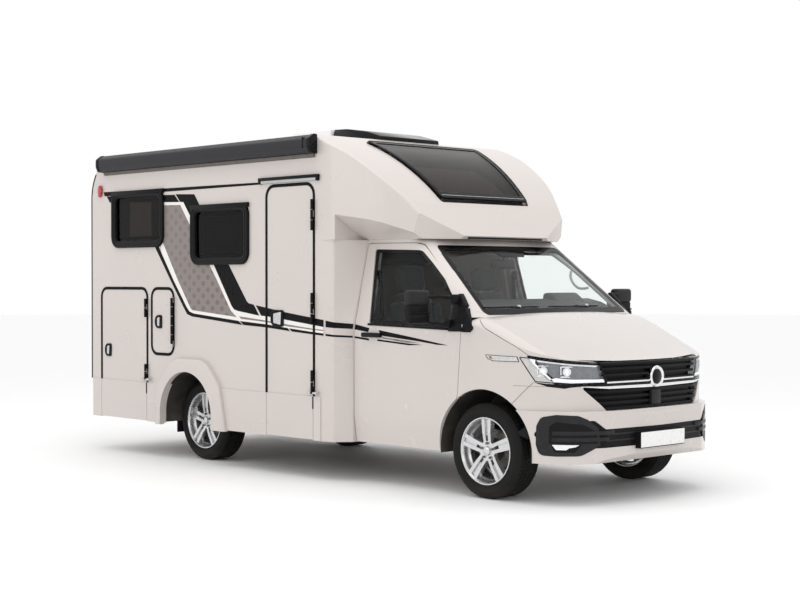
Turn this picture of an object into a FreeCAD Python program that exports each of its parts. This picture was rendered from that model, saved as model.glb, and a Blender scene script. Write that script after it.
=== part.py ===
"""Semi-integrated camper van: a light van cab with a sandwich-panel living box and an overcab nose.

Frame: +X to the front, +Y to the vehicle's left, +Z up, millimetres. The origin is on the ground,
midway along and across the vehicle. Each function below makes one sub-part; NODES at the end names them.
"""

import math
import os

import FreeCAD
import Part

V = FreeCAD.Vector

# ---------------------------------------------------------------- driving dimensions
REAR_X, FRONT_X = -2904.0, 2904.0        # rear wall and bumper nose
FRONT_AXLE_X, REAR_AXLE_X = 2032.0, -1368.0
WHEEL_Y = 812.0                          # middle of each tyre
TYRE_R, TYRE_W = 345.0, 245.0
LIP_R = 245.0                            # rim flange radius
HALF_WIDTH = 1100.0                      # living box, half of its width
WALL = 31.0                              # sandwich panel thickness
ROOF_Z = 2745.0
REAR_ROUND = 400.0                       # rear top corner radius
ROOF_EDGE_ROUND = 60.0
ROOF_SPLIT_Z = 2690.0                    # walls end here and the roof moulding starts
WALL_FRONT_X = 420.0                     # end of the flat side wall
NOSE_START_X = 300.0                     # end of the flat roof
SKIRT_TOP, SKIRT_BOTTOM = 660.0, 310.0
SKIRT_PROUD = 8.0
FLOOR_BOTTOM, FLOOR_TOP = 600.0, 660.0
CAB_REAR_X = 652.0                       # rear shut line of the cab doors
CAB_ROOF_Z = 1900.0
SHUT = 5.0                               # shut line between panels
KINGPIN_Y = 700.0
FRONT_ARCH_R = 450.0
REAR_ARCH_R = 378.0                      # opening in the rear flare
HINGE_Y = 1124.0                         # external hinge axis of the living-box doors


# ---------------------------------------------------------------- outlines and prisms
def to_plane(plane, at, a, b):
    """A point from two outline coordinates: xz at a Y, xy at a Z, or yz at an X."""
    return {"xz": V(a, at, b), "xy": V(a, b, at), "yz": V(at, a, b)}[plane]


def outline(plane, at, corners):
    """Closed wire through corners (a, b) or (a, b, radius), with tangent arcs at the radii."""
    count = len(corners)
    spans = []
    for i, corner in enumerate(corners):
        here = V(corner[0], corner[1], 0)
        radius = corner[2] if len(corner) > 2 else 0.0
        if radius <= 0:
            spans.append((here, None, here))
            continue
        before, after = corners[i - 1], corners[(i + 1) % count]
        u = (V(before[0], before[1], 0) - here).normalize()
        w = (V(after[0], after[1], 0) - here).normalize()
        half = u.getAngle(w) / 2
        back = radius / math.tan(half)
        middle = (u + w).normalize() * (radius / math.sin(half) - radius)
        spans.append((here + u * back, here + middle, here + w * back))
    edges = []
    for i, (start, middle, end) in enumerate(spans):
        if middle is not None:
            points = [to_plane(plane, at, p.x, p.y) for p in (start, middle, end)]
            edges.append(Part.Arc(*points).toShape())
        following = spans[(i + 1) % count][0]
        if end.distanceToPoint(following) > 1e-4:
            ends = [to_plane(plane, at, p.x, p.y) for p in (end, following)]
            edges.append(Part.LineSegment(*ends).toShape())
    return Part.Wire(edges)


def prism(plane, start, end, corners):
    """Solid between two levels of the plane's own axis, with the outline of the corners."""
    along = {"xz": V(0, 1, 0), "xy": V(0, 0, 1), "yz": V(1, 0, 0)}[plane]
    face = Part.Face(outline(plane, start, corners))
    if face.normalAt(0, 0).dot(along) > 0:      # one winding for all, which the booleans rely on
        face = Part.Face(outline(plane, start, corners[::-1]))
    return face.extrude(along * (end - start))


def box(x, y, z):
    """Box between pairs of limits."""
    return Part.makeBox(x[1] - x[0], y[1] - y[0], z[1] - z[0], V(x[0], y[0], z[0]))


def rod(radius, start, end):
    """Round bar between two points."""
    along = V(*end) - V(*start)
    return Part.makeCylinder(radius, along.Length, V(*start), along)


def ring(radius, inner, y0, y1, x=0.0, z=0.0):
    """Tube along Y."""
    outside = Part.makeCylinder(radius, y1 - y0, V(x, y0, z), V(0, 1, 0))
    return outside.cut(Part.makeCylinder(inner, y1 - y0, V(x, y0, z), V(0, 1, 0)))


def fuse(*shapes):
    """One solid from touching solids."""
    return shapes[0].multiFuse(list(shapes[1:])).removeSplitter()


def cut(shape, *tools):
    """Shape with each tool's space taken out."""
    for tool in tools:
        shape = shape.cut(tool)
    return shape


def mirrored(shape):
    """The same piece on the other side of the vehicle."""
    return shape.mirror(V(0, 0, 0), V(0, 1, 0))


def both(shape):
    """Pieces for the two sides, as one node."""
    return Part.makeCompound([shape, mirrored(shape)])


def round_edges(shape, radius, wanted):
    """Fillets the edges that wanted(middle, edge) picks."""
    edges = [e for e in shape.Edges if wanted(e.valueAt(
        (e.FirstParameter + e.LastParameter) / 2), e)]
    return shape.makeFillet(radius, edges)


# ---------------------------------------------------------------- living box forms
def living_form(inset):
    """Whole outer form of the living box, or that form shrunk by inset."""
    side = prism("xz", -HALF_WIDTH - 50, HALF_WIDTH + 50, [
        (REAR_X + inset, 200), (REAR_X + inset, ROOF_Z - inset, REAR_ROUND - inset),
        (NOSE_START_X, ROOF_Z - inset), (NOSE_START_X, 200)])
    half, top, r = HALF_WIDTH - inset, ROOF_Z - inset, ROOF_EDGE_ROUND - inset / 2
    edge = [(half - r * (1 - math.cos(a)), top - r * (1 - math.sin(a)))
            for a in (0, math.pi / 6, math.pi / 3, math.pi / 2)]
    section = prism("yz", REAR_X - 50, NOSE_START_X + 50,
                    [(-half, 200), (half, 200)] + edge + [(-y, z) for y, z in edge[::-1]])
    return side.common(section)


# Right-hand openings: name, X from, X to, Z from, Z to, corner radius
WINDOWS = (
    ("rear", -2520.0, -1727.0, 1893.0, 2385.0, 90.0),
    ("middle", -1286.0, -505.0, 1728.0, 2218.0, 90.0),
)
ENTRY = (-256.0, 330.0, 2345.0, 85.0)             # X from, X to, top, corner radius
GARAGE = (-2718.0, -1985.0, 1502.0, 75.0)
LOCKER = (-1902.0, -1578.0, 930.0, 1502.0, 75.0)  # X from, X to, Z from, Z to, radius
CASSETTE = (-640.0, -240.0, 760.0, 1110.0, 40.0)  # left-hand flap


def hatch_outline(x0, x1, z0, z1, radius, grow=0.0):
    """Corners of a hatch that is rounded at the top only, as its foot runs through the skirt."""
    return [(x0 - grow, z0), (x1 + grow, z0), (x1 + grow, z1 + grow, radius + grow),
            (x0 - grow, z1 + grow, radius + grow)]


def flap_outline(x0, x1, z0, z1, radius, grow=0.0):
    """Corners of an opening that is rounded all round."""
    return [(x0 - grow, z0 - grow, radius + grow), (x1 + grow, z0 - grow, radius + grow),
            (x1 + grow, z1 + grow, radius + grow), (x0 - grow, z1 + grow, radius + grow)]


def side_opening(corners):
    """Cutter through the right-hand wall and skirt."""
    return prism("xz", -HALF_WIDTH - 80, -HALF_WIDTH + 120, corners)


def right_openings(left_side):
    """Cutters for one side wall. The left wall has a garage hatch and a cassette flap."""
    tools = [side_opening(flap_outline(*w[1:])) for w in WINDOWS]
    tools.append(side_opening(hatch_outline(GARAGE[0], GARAGE[1], 200, GARAGE[2], GARAGE[3], SHUT)))
    if left_side:
        tools.append(side_opening(flap_outline(*CASSETTE, SHUT)))
    else:
        tools.append(side_opening(hatch_outline(ENTRY[0], ENTRY[1], 200, ENTRY[2], ENTRY[3], SHUT)))
        tools.append(side_opening(flap_outline(*LOCKER, SHUT)))
    return tools


def rear_arch_cutter(radius, y0, y1):
    """Horseshoe opening round a rear wheel."""
    x, z = REAR_AXLE_X + 22, TYRE_R + 60
    foot = SKIRT_BOTTOM - 120
    return prism("xz", y0, y1, [
        (x - radius, foot), (x + radius, foot), (x + radius, z + radius, radius - 1),
        (x - radius, z + radius, radius - 1)])


def side_wall(left_side):
    slab = living_form(0).common(box(
        (REAR_X - 10, WALL_FRONT_X), (-HALF_WIDTH, -HALF_WIDTH + WALL), (SKIRT_TOP, ROOF_SPLIT_Z)))
    if WALL_FRONT_X > NOSE_START_X:
        slab = fuse(slab, box((NOSE_START_X, WALL_FRONT_X), (-HALF_WIDTH, -HALF_WIDTH + WALL),
                              (SKIRT_TOP, ROOF_SPLIT_Z - 60)))
    wall = cut(slab, rear_arch_cutter(REAR_ARCH_R + 30, -HALF_WIDTH - 50, -HALF_WIDTH + 80),
               *right_openings(left_side))
    return mirrored(wall) if left_side else wall


def rear_wall():
    shell = living_form(0).cut(living_form(WALL))
    return shell.common(box((REAR_X - 10, REAR_X + REAR_ROUND),
                            (-HALF_WIDTH + WALL, HALF_WIDTH - WALL), (SKIRT_TOP, ROOF_SPLIT_Z)))


ROOFLIGHT = (-850.0, -345.0, -330.0, 330.0)       # X and Y limits of the large rooflight
VENTS = ((-2250.0, 0.0), (-1330.0, 520.0))        # middles of the small roof vents
VENT_HALF = 200.0


def roof():
    shell = living_form(0).cut(living_form(WALL))
    panel = shell.common(box((REAR_X - 10, NOSE_START_X), (-1200, 1200), (ROOF_SPLIT_Z, 3000)))
    holes = [box(ROOFLIGHT[:2], ROOFLIGHT[2:], (2600, 2800))]
    holes += [box((x - VENT_HALF, x + VENT_HALF), (y - VENT_HALF, y + VENT_HALF), (2600, 2800))
              for x, y in VENTS]
    return cut(panel, *holes)


def domed_lid(x0, x1, y0, y1, height, front_slope):
    """Rooflight lid with sloping ends that stands in its roof opening."""
    z = ROOF_Z - WALL
    lid = prism("xz", y0 - 25, y1 + 25, [
        (x0 - 25, ROOF_Z), (x1 + 25, ROOF_Z), (x1 + 25 - front_slope, ROOF_Z + height, 30),
        (x0 + 15, ROOF_Z + height, 30)])
    section = prism("yz", x0 - 60, x1 + 60, [
        (y0 - 25, ROOF_Z), (y1 + 25, ROOF_Z), (y1, ROOF_Z + height, 30), (y0, ROOF_Z + height, 30)])
    neck = box((x0, x1), (y0, y1), (z, ROOF_Z))
    hollow = box((x0 + 25, x1 - 25), (y0 + 25, y1 - 25), (z, ROOF_Z + height - 30))
    return cut(fuse(lid.common(section), neck), hollow)


def rooflights():
    x0, x1, y0, y1 = ROOFLIGHT[1] + 26, NOSE_START_X - 4, ROOFLIGHT[2] - 10, ROOFLIGHT[3] + 10
    deflector = prism("xz", y0, y1, [(x0, ROOF_Z), (x1, ROOF_Z), (x1, ROOF_Z + 30, 12),
                                     (x0 + 120, ROOF_Z + 118, 500), (x0, ROOF_Z + 128)])
    deflector = deflector.common(prism("yz", x0 - 5, x1 + 5, [
        (y0, ROOF_Z), (y1, ROOF_Z), (y1 - 40, ROOF_Z + 130, 40), (y0 + 40, ROOF_Z + 130, 40)]))
    lids = [domed_lid(*ROOFLIGHT, 145, 25), deflector]
    lids += [domed_lid(x - VENT_HALF, x + VENT_HALF, y - VENT_HALF, y + VENT_HALF, 70, 20)
             for x, y in VENTS]
    return Part.makeCompound(lids)


# ---------------------------------------------------------------- overcab nose
SKYLIGHT = ((430.0, 655.0), (1180.0, 512.0))      # (X, half width) at the rear and front edges
NOSE_TIP_X, NOSE_TIP_Z = 1400.0, 1925.0


def nose_form(inset):
    """Outer form of the nose: side profile, narrowing plan, sloped underside and lower corner facets."""
    top = ROOF_Z - inset
    lean = inset * 0.75
    arc = Part.Arc(V(NOSE_START_X, 0, top), V(740 - lean / 2, 0, 2548 - lean),
                   V(1200 - lean, 0, 2170 - lean)).toShape()
    chain = [V(1200 - lean, 0, 2170 - lean), V(NOSE_TIP_X - inset * 1.2, 0, NOSE_TIP_Z),
             V(NOSE_TIP_X - inset * 1.2 - 20, 0, CAB_ROOF_Z), V(NOSE_START_X, 0, CAB_ROOF_Z),
             V(NOSE_START_X, 0, top)]
    lines = [Part.LineSegment(a, b).toShape() for a, b in zip(chain, chain[1:])]
    profile = Part.Face(Part.Wire([arc] + lines))
    profile.translate(V(0, -1300, 0))
    body = profile.extrude(V(0, 2600, 0))
    half = HALF_WIDTH - inset
    body = body.common(prism("xy", 1800, 2800, [
        (NOSE_START_X, -half), (560, -half, 400), (960, -1010 + inset, 700), (1290, -825 + inset),
        (1500, -700 + inset), (1500, 700 - inset), (1290, 825 - inset), (960, 1010 - inset, 700),
        (560, half, 400), (NOSE_START_X, half)]))
    return body


def nose_corner_cutter():
    """Half-space wedge that gives the facet at the lower front corner, right side."""
    a, b, c = V(1262, -835, 2105), V(1290, -700, 1872), V(1415, -440, 1900)
    normal = (b - a).cross(c - a).normalize()
    if normal.x < 0:
        normal = normal * -1
    face = Part.makePlane(2000, 2000)
    face.translate(V(-1000, -1000, 0))
    face.Placement = FreeCAD.Placement(b, FreeCAD.Rotation(V(0, 0, 1), normal)).multiply(face.Placement)
    return face.extrude(normal * 400)


def nose_under_cutter():
    """Prism below the sloped underside, right side: it rises outwards from the cab roof."""
    return prism("yz", 580, NOSE_TIP_X + 200, [
        (-790, CAB_ROOF_Z - 30), (-1300, CAB_ROOF_Z - 30), (-1300, CAB_ROOF_Z + 329),
        (-790, CAB_ROOF_Z)])


def nose_solid(inset):
    form = nose_form(inset)
    for tool in (nose_corner_cutter(), nose_under_cutter()):
        tool = tool.translated(V(-inset, inset * 0.4, inset * 0.6)) if inset else tool
        form = cut(form, tool, mirrored(tool))
    return form


def skylight_prism(grow, z0=2000, z1=2900):
    """Upright prism over the nose window."""
    (rear_x, rear_half), (front_x, front_half) = SKYLIGHT
    r, f = rear_half + grow, front_half + grow
    return prism("xy", z0, z1, [
        (rear_x - grow, -r, 40), (front_x + grow, -f, 30), (front_x + grow, f, 30),
        (rear_x - grow, r, 40)])


def nose_cap():
    outer = nose_solid(0)
    outer = round_edges(outer, 28, lambda m, e: abs(m.y) > 800 and 2120 < m.z < 2740
                        and 340 < m.x < 1240 and e.Length > 150)
    shell = outer.cut(nose_solid(WALL - 3))
    behind_wall = box((0, WALL_FRONT_X), (-1300, 1300), (1800, ROOF_SPLIT_Z - 60))
    cab_space = box((CAB_REAR_X - 20, 1180), (-700, 700), (1800, 1960))
    return cut(shell, behind_wall, cab_space, skylight_prism(0))


def skylight():
    """Frame and pane of the nose window; the pane stands a little proud."""
    proud = nose_solid(-14)
    flush = nose_solid(18)
    pane = proud.cut(flush).common(skylight_prism(-6))
    return pane


# ---------------------------------------------------------------- skirts and living-box doors
REAR_ARCH_Z = 420.0


def skirt_slab(x0, x1):
    top = box((x0, x1), (-HALF_WIDTH - SKIRT_PROUD, -HALF_WIDTH + WALL - SKIRT_PROUD),
              (SKIRT_BOTTOM, SKIRT_TOP))
    return top


def rear_flare():
    """Flared surround of a rear wheel opening, right side."""
    plate = prism("xz", -1146, -HALF_WIDTH, [
        (-1812, SKIRT_BOTTOM - 10), (-790, SKIRT_BOTTOM - 10), (-872, 680, 220), (-1085, 898, 230),
        (-1540, 898, 250), (-1780, 660, 150)])
    plate = round_edges(plate, 22, lambda m, e: m.y < -1145.5 and m.z > SKIRT_BOTTOM)
    return plate


def skirts():
    right = fuse(skirt_slab(-2866, WALL_FRONT_X), rear_flare())
    arch = rear_arch_cutter(REAR_ARCH_R, -1200, -1000)
    left = mirrored(cut(right, arch))
    right = cut(right, arch,
                side_opening(hatch_outline(GARAGE[0], GARAGE[1], 200, GARAGE[2], GARAGE[3], SHUT)),
                side_opening(hatch_outline(ENTRY[0], ENTRY[1], 200, ENTRY[2], ENTRY[3], SHUT)))
    return Part.makeCompound(right.Solids + left.Solids)


def hinge_knuckles(x, levels):
    """Barrels of the external hinges with their leaves on the door, right side."""
    parts = []
    for z in levels:
        parts.append(rod(9, (x, -HINGE_Y, z - 28), (x, -HINGE_Y, z + 28)))
        parts.append(box((x - 42, x - 8), (-HINGE_Y - 4, -HALF_WIDTH + 2), (z - 24, z + 24)))
        parts.append(box((x - 10, x), (-HINGE_Y - 4, -HALF_WIDTH - 3), (z - 24, z + 24)))
    return parts


def living_door(x0, x1, top, radius, levels):
    """Full-height door with its skirt part, right side, hinged at its front edge."""
    wall = prism("xz", -HALF_WIDTH, -HALF_WIDTH + WALL, hatch_outline(x0, x1, SKIRT_TOP, top, radius))
    foot = box((x0, x1), (-HALF_WIDTH - SKIRT_PROUD, -HALF_WIDTH + WALL - SKIRT_PROUD),
               (SKIRT_BOTTOM + 5, SKIRT_TOP))
    return fuse(wall, foot, *hinge_knuckles(x1 + 6, levels))


def entry_door():
    return living_door(*ENTRY, (760, 1330, 2110))


def garage_door():
    return living_door(*GARAGE, (760, 1340))


def locker_door():
    panel = prism("xz", -HALF_WIDTH, -HALF_WIDTH + WALL, flap_outline(*LOCKER))
    return fuse(panel, *hinge_knuckles(LOCKER[1] + 6, (1020, 1410)))


def cassette_flap():
    panel = prism("xz", -HALF_WIDTH, -HALF_WIDTH + WALL, flap_outline(*CASSETTE))
    return mirrored(fuse(panel, *hinge_knuckles(CASSETTE[1] + 6, (830, 1040))))


def box_windows():
    """Framed side windows: a proud frame with a flush pane inside it, and the nose skylight."""
    panes = []
    for _, x0, x1, z0, z1, radius in WINDOWS:
        outer = prism("xz", -HALF_WIDTH - 14, -HALF_WIDTH, flap_outline(x0, x1, z0, z1, radius, 14))
        plug = prism("xz", -HALF_WIDTH, -HALF_WIDTH + WALL, flap_outline(x0, x1, z0, z1, radius))
        hole = prism("xz", -HALF_WIDTH - 20, -HALF_WIDTH + 8,
                     flap_outline(x0, x1, z0, z1, radius, -42))
        back = prism("xz", -HALF_WIDTH + 16, -HALF_WIDTH + 60,
                     flap_outline(x0, x1, z0, z1, radius, -42))
        pane = cut(fuse(outer, plug), hole, back)
        panes += [pane, mirrored(pane)]
    panes.append(skylight())
    return Part.makeCompound(panes)


# ---------------------------------------------------------------- awning, rear end, lamps
AWNING = (-2802.0, 430.0, 2585.0, 2735.0)         # X from, X to, Z from, Z to


def awning():
    """Roof-edge awning cassette with its end caps, right side."""
    x0, x1, z0, z1 = AWNING
    section = [(-HALF_WIDTH, z0), (-HALF_WIDTH, z1, 12), (-1150, z1 + 4, 30), (-1222, z1 - 42, 30),
               (-1222, z0 + 50, 30), (-1190, z0 + 6, 18)]
    case = prism("yz", x0 + 40, x1 - 40, section)
    cap = [(y - 3 if y < -HALF_WIDTH else y, z + (3 if z > 2650 else -3), *r)
           for y, z, *r in section]
    rear = prism("yz", x0, x0 + 40, cap)
    front = prism("yz", x1 - 40, x1, cap)
    return fuse(case, rear, front)


def rear_bumper():
    """Moulded rear bumper across the foot of the rear wall, with the plate seat."""
    plan = [(-2790, -1077), (REAR_X - 2, -1077, 60), (REAR_X - 22, -900, 300),
            (REAR_X - 22, 900, 300), (REAR_X - 2, 1077, 60), (-2790, 1077)]
    solid = prism("xy", 330, SKIRT_TOP, plan)
    hollow = box((-2860, -2700), (-1050, 1050), (300, SKIRT_TOP - 30))
    seat = box((REAR_X - 30, REAR_X - 12), (-270, 270), (510, 635))
    foot = prism("xz", -1200, 1200, [(-2700, SKIRT_TOP), (-2940, SKIRT_TOP), (-2940, 500, 120),
                                     (-2885, 390, 80), (-2790, 318, 30), (-2700, 318)])
    return cut(solid.common(foot), hollow, seat)


def rear_lamps():
    """Tall tail lamps on the rear wall and the two side marker lamps."""
    tail = prism("yz", REAR_X - 8, REAR_X, [
        (-1050, 760, 20), (-960, 760, 20), (-960, 1120, 20), (-1050, 1120, 20)])
    marker = prism("xz", -HALF_WIDTH - 16, -HALF_WIDTH, [
        (-2762, 2360, 14), (-2728, 2360, 14), (-2728, 2462, 14), (-2762, 2462, 14)])
    high = box((REAR_X - 8, REAR_X), (-150, 150), (2180, 2210))
    return Part.makeCompound([tail, mirrored(tail), marker, mirrored(marker), high])


def living_floor():
    """Floor panel with the covers over the rear wheels, and the frames under the seats' platform."""
    x0, x1 = REAR_X + 119, CAB_REAR_X - 52
    inner = HALF_WIDTH - WALL - 5
    slab = box((x0, x1), (-inner, inner), (FLOOR_BOTTOM, FLOOR_TOP))
    slab = cut(slab, box((400, 700), (-1200, -874), (500, 700)), box((400, 700), (874, 1200), (500, 700)))
    outside = prism("xz", -inner - 5, -580, [
        (-1368 - 400, FLOOR_BOTTOM), (-1368 + 400, FLOOR_BOTTOM), (-1368 + 400, 812, 150),
        (-1368 - 400, 812, 150)])
    inside = prism("xz", -inner - 20, -600, [
        (-1368 - 380, FLOOR_BOTTOM - 50), (-1368 + 380, FLOOR_BOTTOM - 50), (-1368 + 380, 792, 130),
        (-1368 - 380, 792, 130)])
    outside = outside.common(box((-3000, 0), (-1200, 0), (FLOOR_BOTTOM, 900)))
    slab = fuse(slab, outside, mirrored(outside))
    return cut(slab, inside, mirrored(inside))


# ---------------------------------------------------------------- cab forms
CAB_HALF = 952.0
BELT_Z = 1200.0
DOOR = [(CAB_REAR_X, 315), (1652, 315), (1700, 560, 200), (1778, 740, 150), (1812, BELT_Z, 900),
        (1826, 1368, 60), (1445, 1742, 420), (1235, 1866, 260), (CAB_REAR_X, 1872, 30)]
SIDE_GLASS = [(812, 1246, 12), (1796, 1224, 6), (1796, 1336, 20), (1553, 1588), (1400, 1710, 300),
              (1262, 1812, 110), (742, 1826, 18)]


def upper_form(inset):
    """Cab above the belt: one straight-sided loft from the belt to the roof."""
    levels = []
    for z, half, front, middle in ((BELT_Z, CAB_HALF, 2100, 2190), (CAB_ROOF_Z, 792, 1236, 1330)):
        h, f, m = half - inset, front - inset, middle - inset
        levels.append(outline("xy", z, [(CAB_REAR_X - 60, -h), (f, -h, 150), (m, 0, 3000),
                                        (f, h, 150), (CAB_REAR_X - 60, h)]))
    return Part.makeLoft(levels, True, True)


def lower_form(inset):
    """Cab sides below the belt."""
    h = CAB_HALF - inset
    return prism("yz", CAB_REAR_X - 10, 1900, [
        (-h + 26, 300), (-h, 520), (-h, BELT_Z), (h, BELT_Z), (h, 520), (h - 26, 300)])


def door_region(grow, y0, y1):
    corners = []
    cx, cz = 1200.0, 1000.0
    for x, z, *r in DOOR:
        corners.append((x + (grow if x > cx else -grow), z + (grow if z > cz else -grow), *r))
    return prism("xz", y0, y1, corners)


# Cross-sections of the bonnet: X, shoulder start Z, top edge Y and Z, middle Z
BONNET_SECTIONS = (
    (1600, 1215, 880, 1310, 1335), (1950, 1205, 880, 1308, 1335), (2070, 1160, 865, 1286, 1322),
    (2330, 1045, 835, 1175, 1212), (2500, 965, 800, 1095, 1138), (2640, 900, 730, 1035, 1072),
    (2760, 860, 600, 1000, 1020), (2890, 820, 450, 962, 978),
)


def bonnet_section(x, shoulder, edge_y, edge_z, middle, t):
    """Closed section of the cab front: two sides, two shoulder arcs and the crowned top."""
    h, zs, ye, ze, zc = CAB_HALF + 8 - t, shoulder - t * 0.4, edge_y - t * 0.7, edge_z - t, middle - t
    chord = V(0, h - ye, ze - zs)
    bulge = V(0, -chord.z, -chord.y).normalize() * (-0.19 * chord.Length)
    mid = V(x, (h + ye) / 2, (zs + ze) / 2) + V(0, abs(bulge.y), abs(bulge.z))
    low, side, edge, top = V(x, h, 280), V(x, h, zs), V(x, ye, ze), V(x, 0, zc)

    def flip(p):
        return V(p.x, -p.y, p.z)

    return Part.Wire([
        Part.LineSegment(flip(low), low).toShape(), Part.LineSegment(low, side).toShape(),
        Part.Arc(side, mid, edge).toShape(), Part.Arc(edge, top, flip(edge)).toShape(),
        Part.Arc(flip(edge), flip(mid), flip(side)).toShape(),
        Part.LineSegment(flip(side), flip(low)).toShape()])


def front_plan(t, z0, z1):
    """Upright prism with the rounded plan of lamps and grille, shrunk by t."""
    h = CAB_HALF - t
    return prism("xy", z0, z1, [
        (1610, -h), (2210, -h, 1500), (2500 - t / 2, -905 + t, 500), (2700 - t, -770 + t, 260),
        (2818 - t, -545 + t, 260), (2862 - t, 0, 1500), (2818 - t, 545 - t, 260),
        (2700 - t, 770 - t, 260), (2500 - t / 2, 905 - t, 500), (2210, h, 1500), (1610, h)])


def front_form(t):
    """Nose of the cab: lofted bonnet sections within the rounded plan, shrunk by t."""
    upper = Part.makeLoft([bonnet_section(*row, t) for row in BONNET_SECTIONS], True, False)
    return upper.common(front_plan(t, 260, 1500))


def bumper_plan(t, z0, z1):
    """Upright prism with the fuller plan of the bumper, shrunk by t."""
    h = CAB_HALF - 2 - t
    return prism("xy", z0, z1, [
        (2200, -h), (2330, -h, 300), (2560 - t / 2, -905 + t, 400), (2755 - t, -765 + t, 200),
        (2850 - t, -580 + t, 160), (2904 - t, 0, 1500), (2850 - t, 580 - t, 160),
        (2755 - t, 765 - t, 200), (2560 - t / 2, 905 - t, 400), (2330, h, 300), (2200, h)])


def bumper_form(t):
    """Bumper with its crease and tucked-under foot, shrunk by t."""
    profile = prism("xz", -1100, 1100, [
        (2200, 296), (2820 - t, 296), (2878 - t, 345, 60), (2900 - t, 420, 100),
        (2902 - t, 612), (2872 - t, 640), (2872 - t, 664), (2200, 664)])
    return profile.common(bumper_plan(t, 250, 800))


def front_arch(radius, y0, y1):
    return Part.makeCylinder(radius, y1 - y0, V(FRONT_AXLE_X, y0, TYRE_R), V(0, 1, 0))


BONNET_LINE = [(1950, 1314), (2051, 1238, 60), (2329, 1118, 300), (2445, 1052, 40), (2775, 1008),
               (2960, 1000)]
LAMP = [(2425, 1048), (2772, 1008), (2808, 850, 20), (2690, 832, 30), (2570, 884, 200)]


def bonnet_region(drop=0.0):
    corners = [(x, z - drop, *r) for x, z, *r in BONNET_LINE]
    corners[0] = (corners[0][0] - drop, corners[0][1])
    return prism("xz", -1200, 1200, corners + [(2960, 1600), (1950 - drop, 1600)])


def lamp_region(grow, side=-1):
    corners = [(x + (grow if x > 2600 else -grow), z + (grow if z > 950 else -grow), *r)
               for x, z, *r in LAMP]
    return prism("xz", -1150 if side < 0 else 300, -300 if side < 0 else 1150, corners)


def upper_grille_region():
    return prism("yz", 2600, 3000, [(-512, 845), (512, 845), (556, 1003), (-556, 1003)])


def lower_grille_region():
    return prism("yz", 2500, 3000, [(-516, 662, 30), (516, 662, 30), (700, 832, 12),
                                    (-700, 832, 12)])


def intake_region():
    """Dark band of the bumper, with its raised ends round the fog lamps."""
    half = prism("yz", 2300, 3000, [
        (0, 405), (0, 536), (-560, 536, 40), (-640, 600, 40), (-890, 588, 40), (-930, 470, 60),
        (-800, 405, 40)])
    return fuse(half, mirrored(half))


# ---------------------------------------------------------------- cab pieces
WINDSCREEN = [(-832, 1326, 30), (832, 1326, 30), (700, 1852, 40), (-700, 1852, 40)]


def windscreen_region(grow):
    corners = [(y + math.copysign(grow, y), z + (grow if z > 1600 else -grow), r)
               for y, z, r in WINDSCREEN]
    return prism("yz", 1100, 2300, corners)


def side_glass_region(y0, y1):
    return prism("xz", y0, y1, SIDE_GLASS)


def cab_shell():
    """Roof rails, screen pillars, rear hoop, floor and bulkhead of the cab."""
    frame = upper_form(0).cut(upper_form(40))
    doorway = door_region(SHUT, -1200, -500)
    frame = cut(frame, doorway, mirrored(doorway), windscreen_region(0),
                box((1300, 2300), (-1200, 1200), (BELT_Z - 10, 1310)),
                box((CAB_REAR_X - 70, CAB_REAR_X - 6), (-1200, 1200), (1100, 1950)))
    hoop = upper_form(75).cut(upper_form(110)).common(
        box((CAB_REAR_X - 52, 690), (-1200, 1200), (BELT_Z, 1860)))
    roof_plate = box((CAB_REAR_X - 6, 1200), (-760, 760), (1870, 1898))
    roof_plate = cut(roof_plate, box((CAB_REAR_X + 40, 1090), (-560, 560), (1850, 1950)))
    posts = box((CAB_REAR_X - 52, 690), (-880, -842), (FLOOR_BOTTOM, BELT_Z))
    sills = box((CAB_REAR_X - 52, 1560), (-858, -790), (400, 600))
    floor = box((CAB_REAR_X - 52, 1560), (-880, 880), (FLOOR_BOTTOM, FLOOR_TOP))
    footwell = box((1560, 1850), (-470, 470), (FLOOR_BOTTOM, FLOOR_TOP))
    bulkhead = box((1820, 1850), (-800, 800), (FLOOR_BOTTOM, 1300))
    bulkhead = cut(bulkhead, front_arch(FRONT_ARCH_R + 20, -1000, -470),
                   front_arch(FRONT_ARCH_R + 20, 470, 1000))
    toe = box((1540, 1560), (-800, 800), (FLOOR_BOTTOM, 700))
    cowl = fuse(box((1822, 1985), (-838, 838), (1266, 1288)),
                box((1826, 1935), (-860, -820), (1266, 1304)),
                box((1826, 1935), (820, 860), (1266, 1304)))
    foot_sides = box((1540, 1850), (-490, -470), (FLOOR_BOTTOM, 860))
    lower = fuse(floor, footwell, bulkhead, toe, cowl, posts, mirrored(posts), sills,
                 mirrored(sills), foot_sides, mirrored(foot_sides))
    return fuse(frame, roof_plate, hoop, lower)


def windscreen():
    glass = upper_form(6).cut(upper_form(13)).common(windscreen_region(0))
    return glass


def cab_door():
    """Right cab door: pressed lower panel and slimmer window frame, glass opening cut."""
    region = door_region(0, -1200, -600)
    upper = upper_form(0).cut(upper_form(38)).common(region)
    upper = upper.common(box((0, 2500), (-1200, -600), (BELT_Z, 1900)))
    lower = lower_form(0).cut(lower_form(60)).common(region)
    door = fuse(upper, lower)
    arch = front_arch(FRONT_ARCH_R + 2, -1200, -600)
    door = cut(door, arch, side_glass_region(-1200, -600), windscreen_region(58))
    handle = prism("xz", -980, -940, [(760, 1142, 8), (966, 1142, 8), (966, 1172, 8), (760, 1172, 8)])
    return fuse(door, handle)


def cab_glass():
    glass = upper_form(14).cut(upper_form(19)).common(side_glass_region(-1200, -600))
    return glass.common(box((0, 2500), (-1200, -600), (BELT_Z, 1900)))


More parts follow.
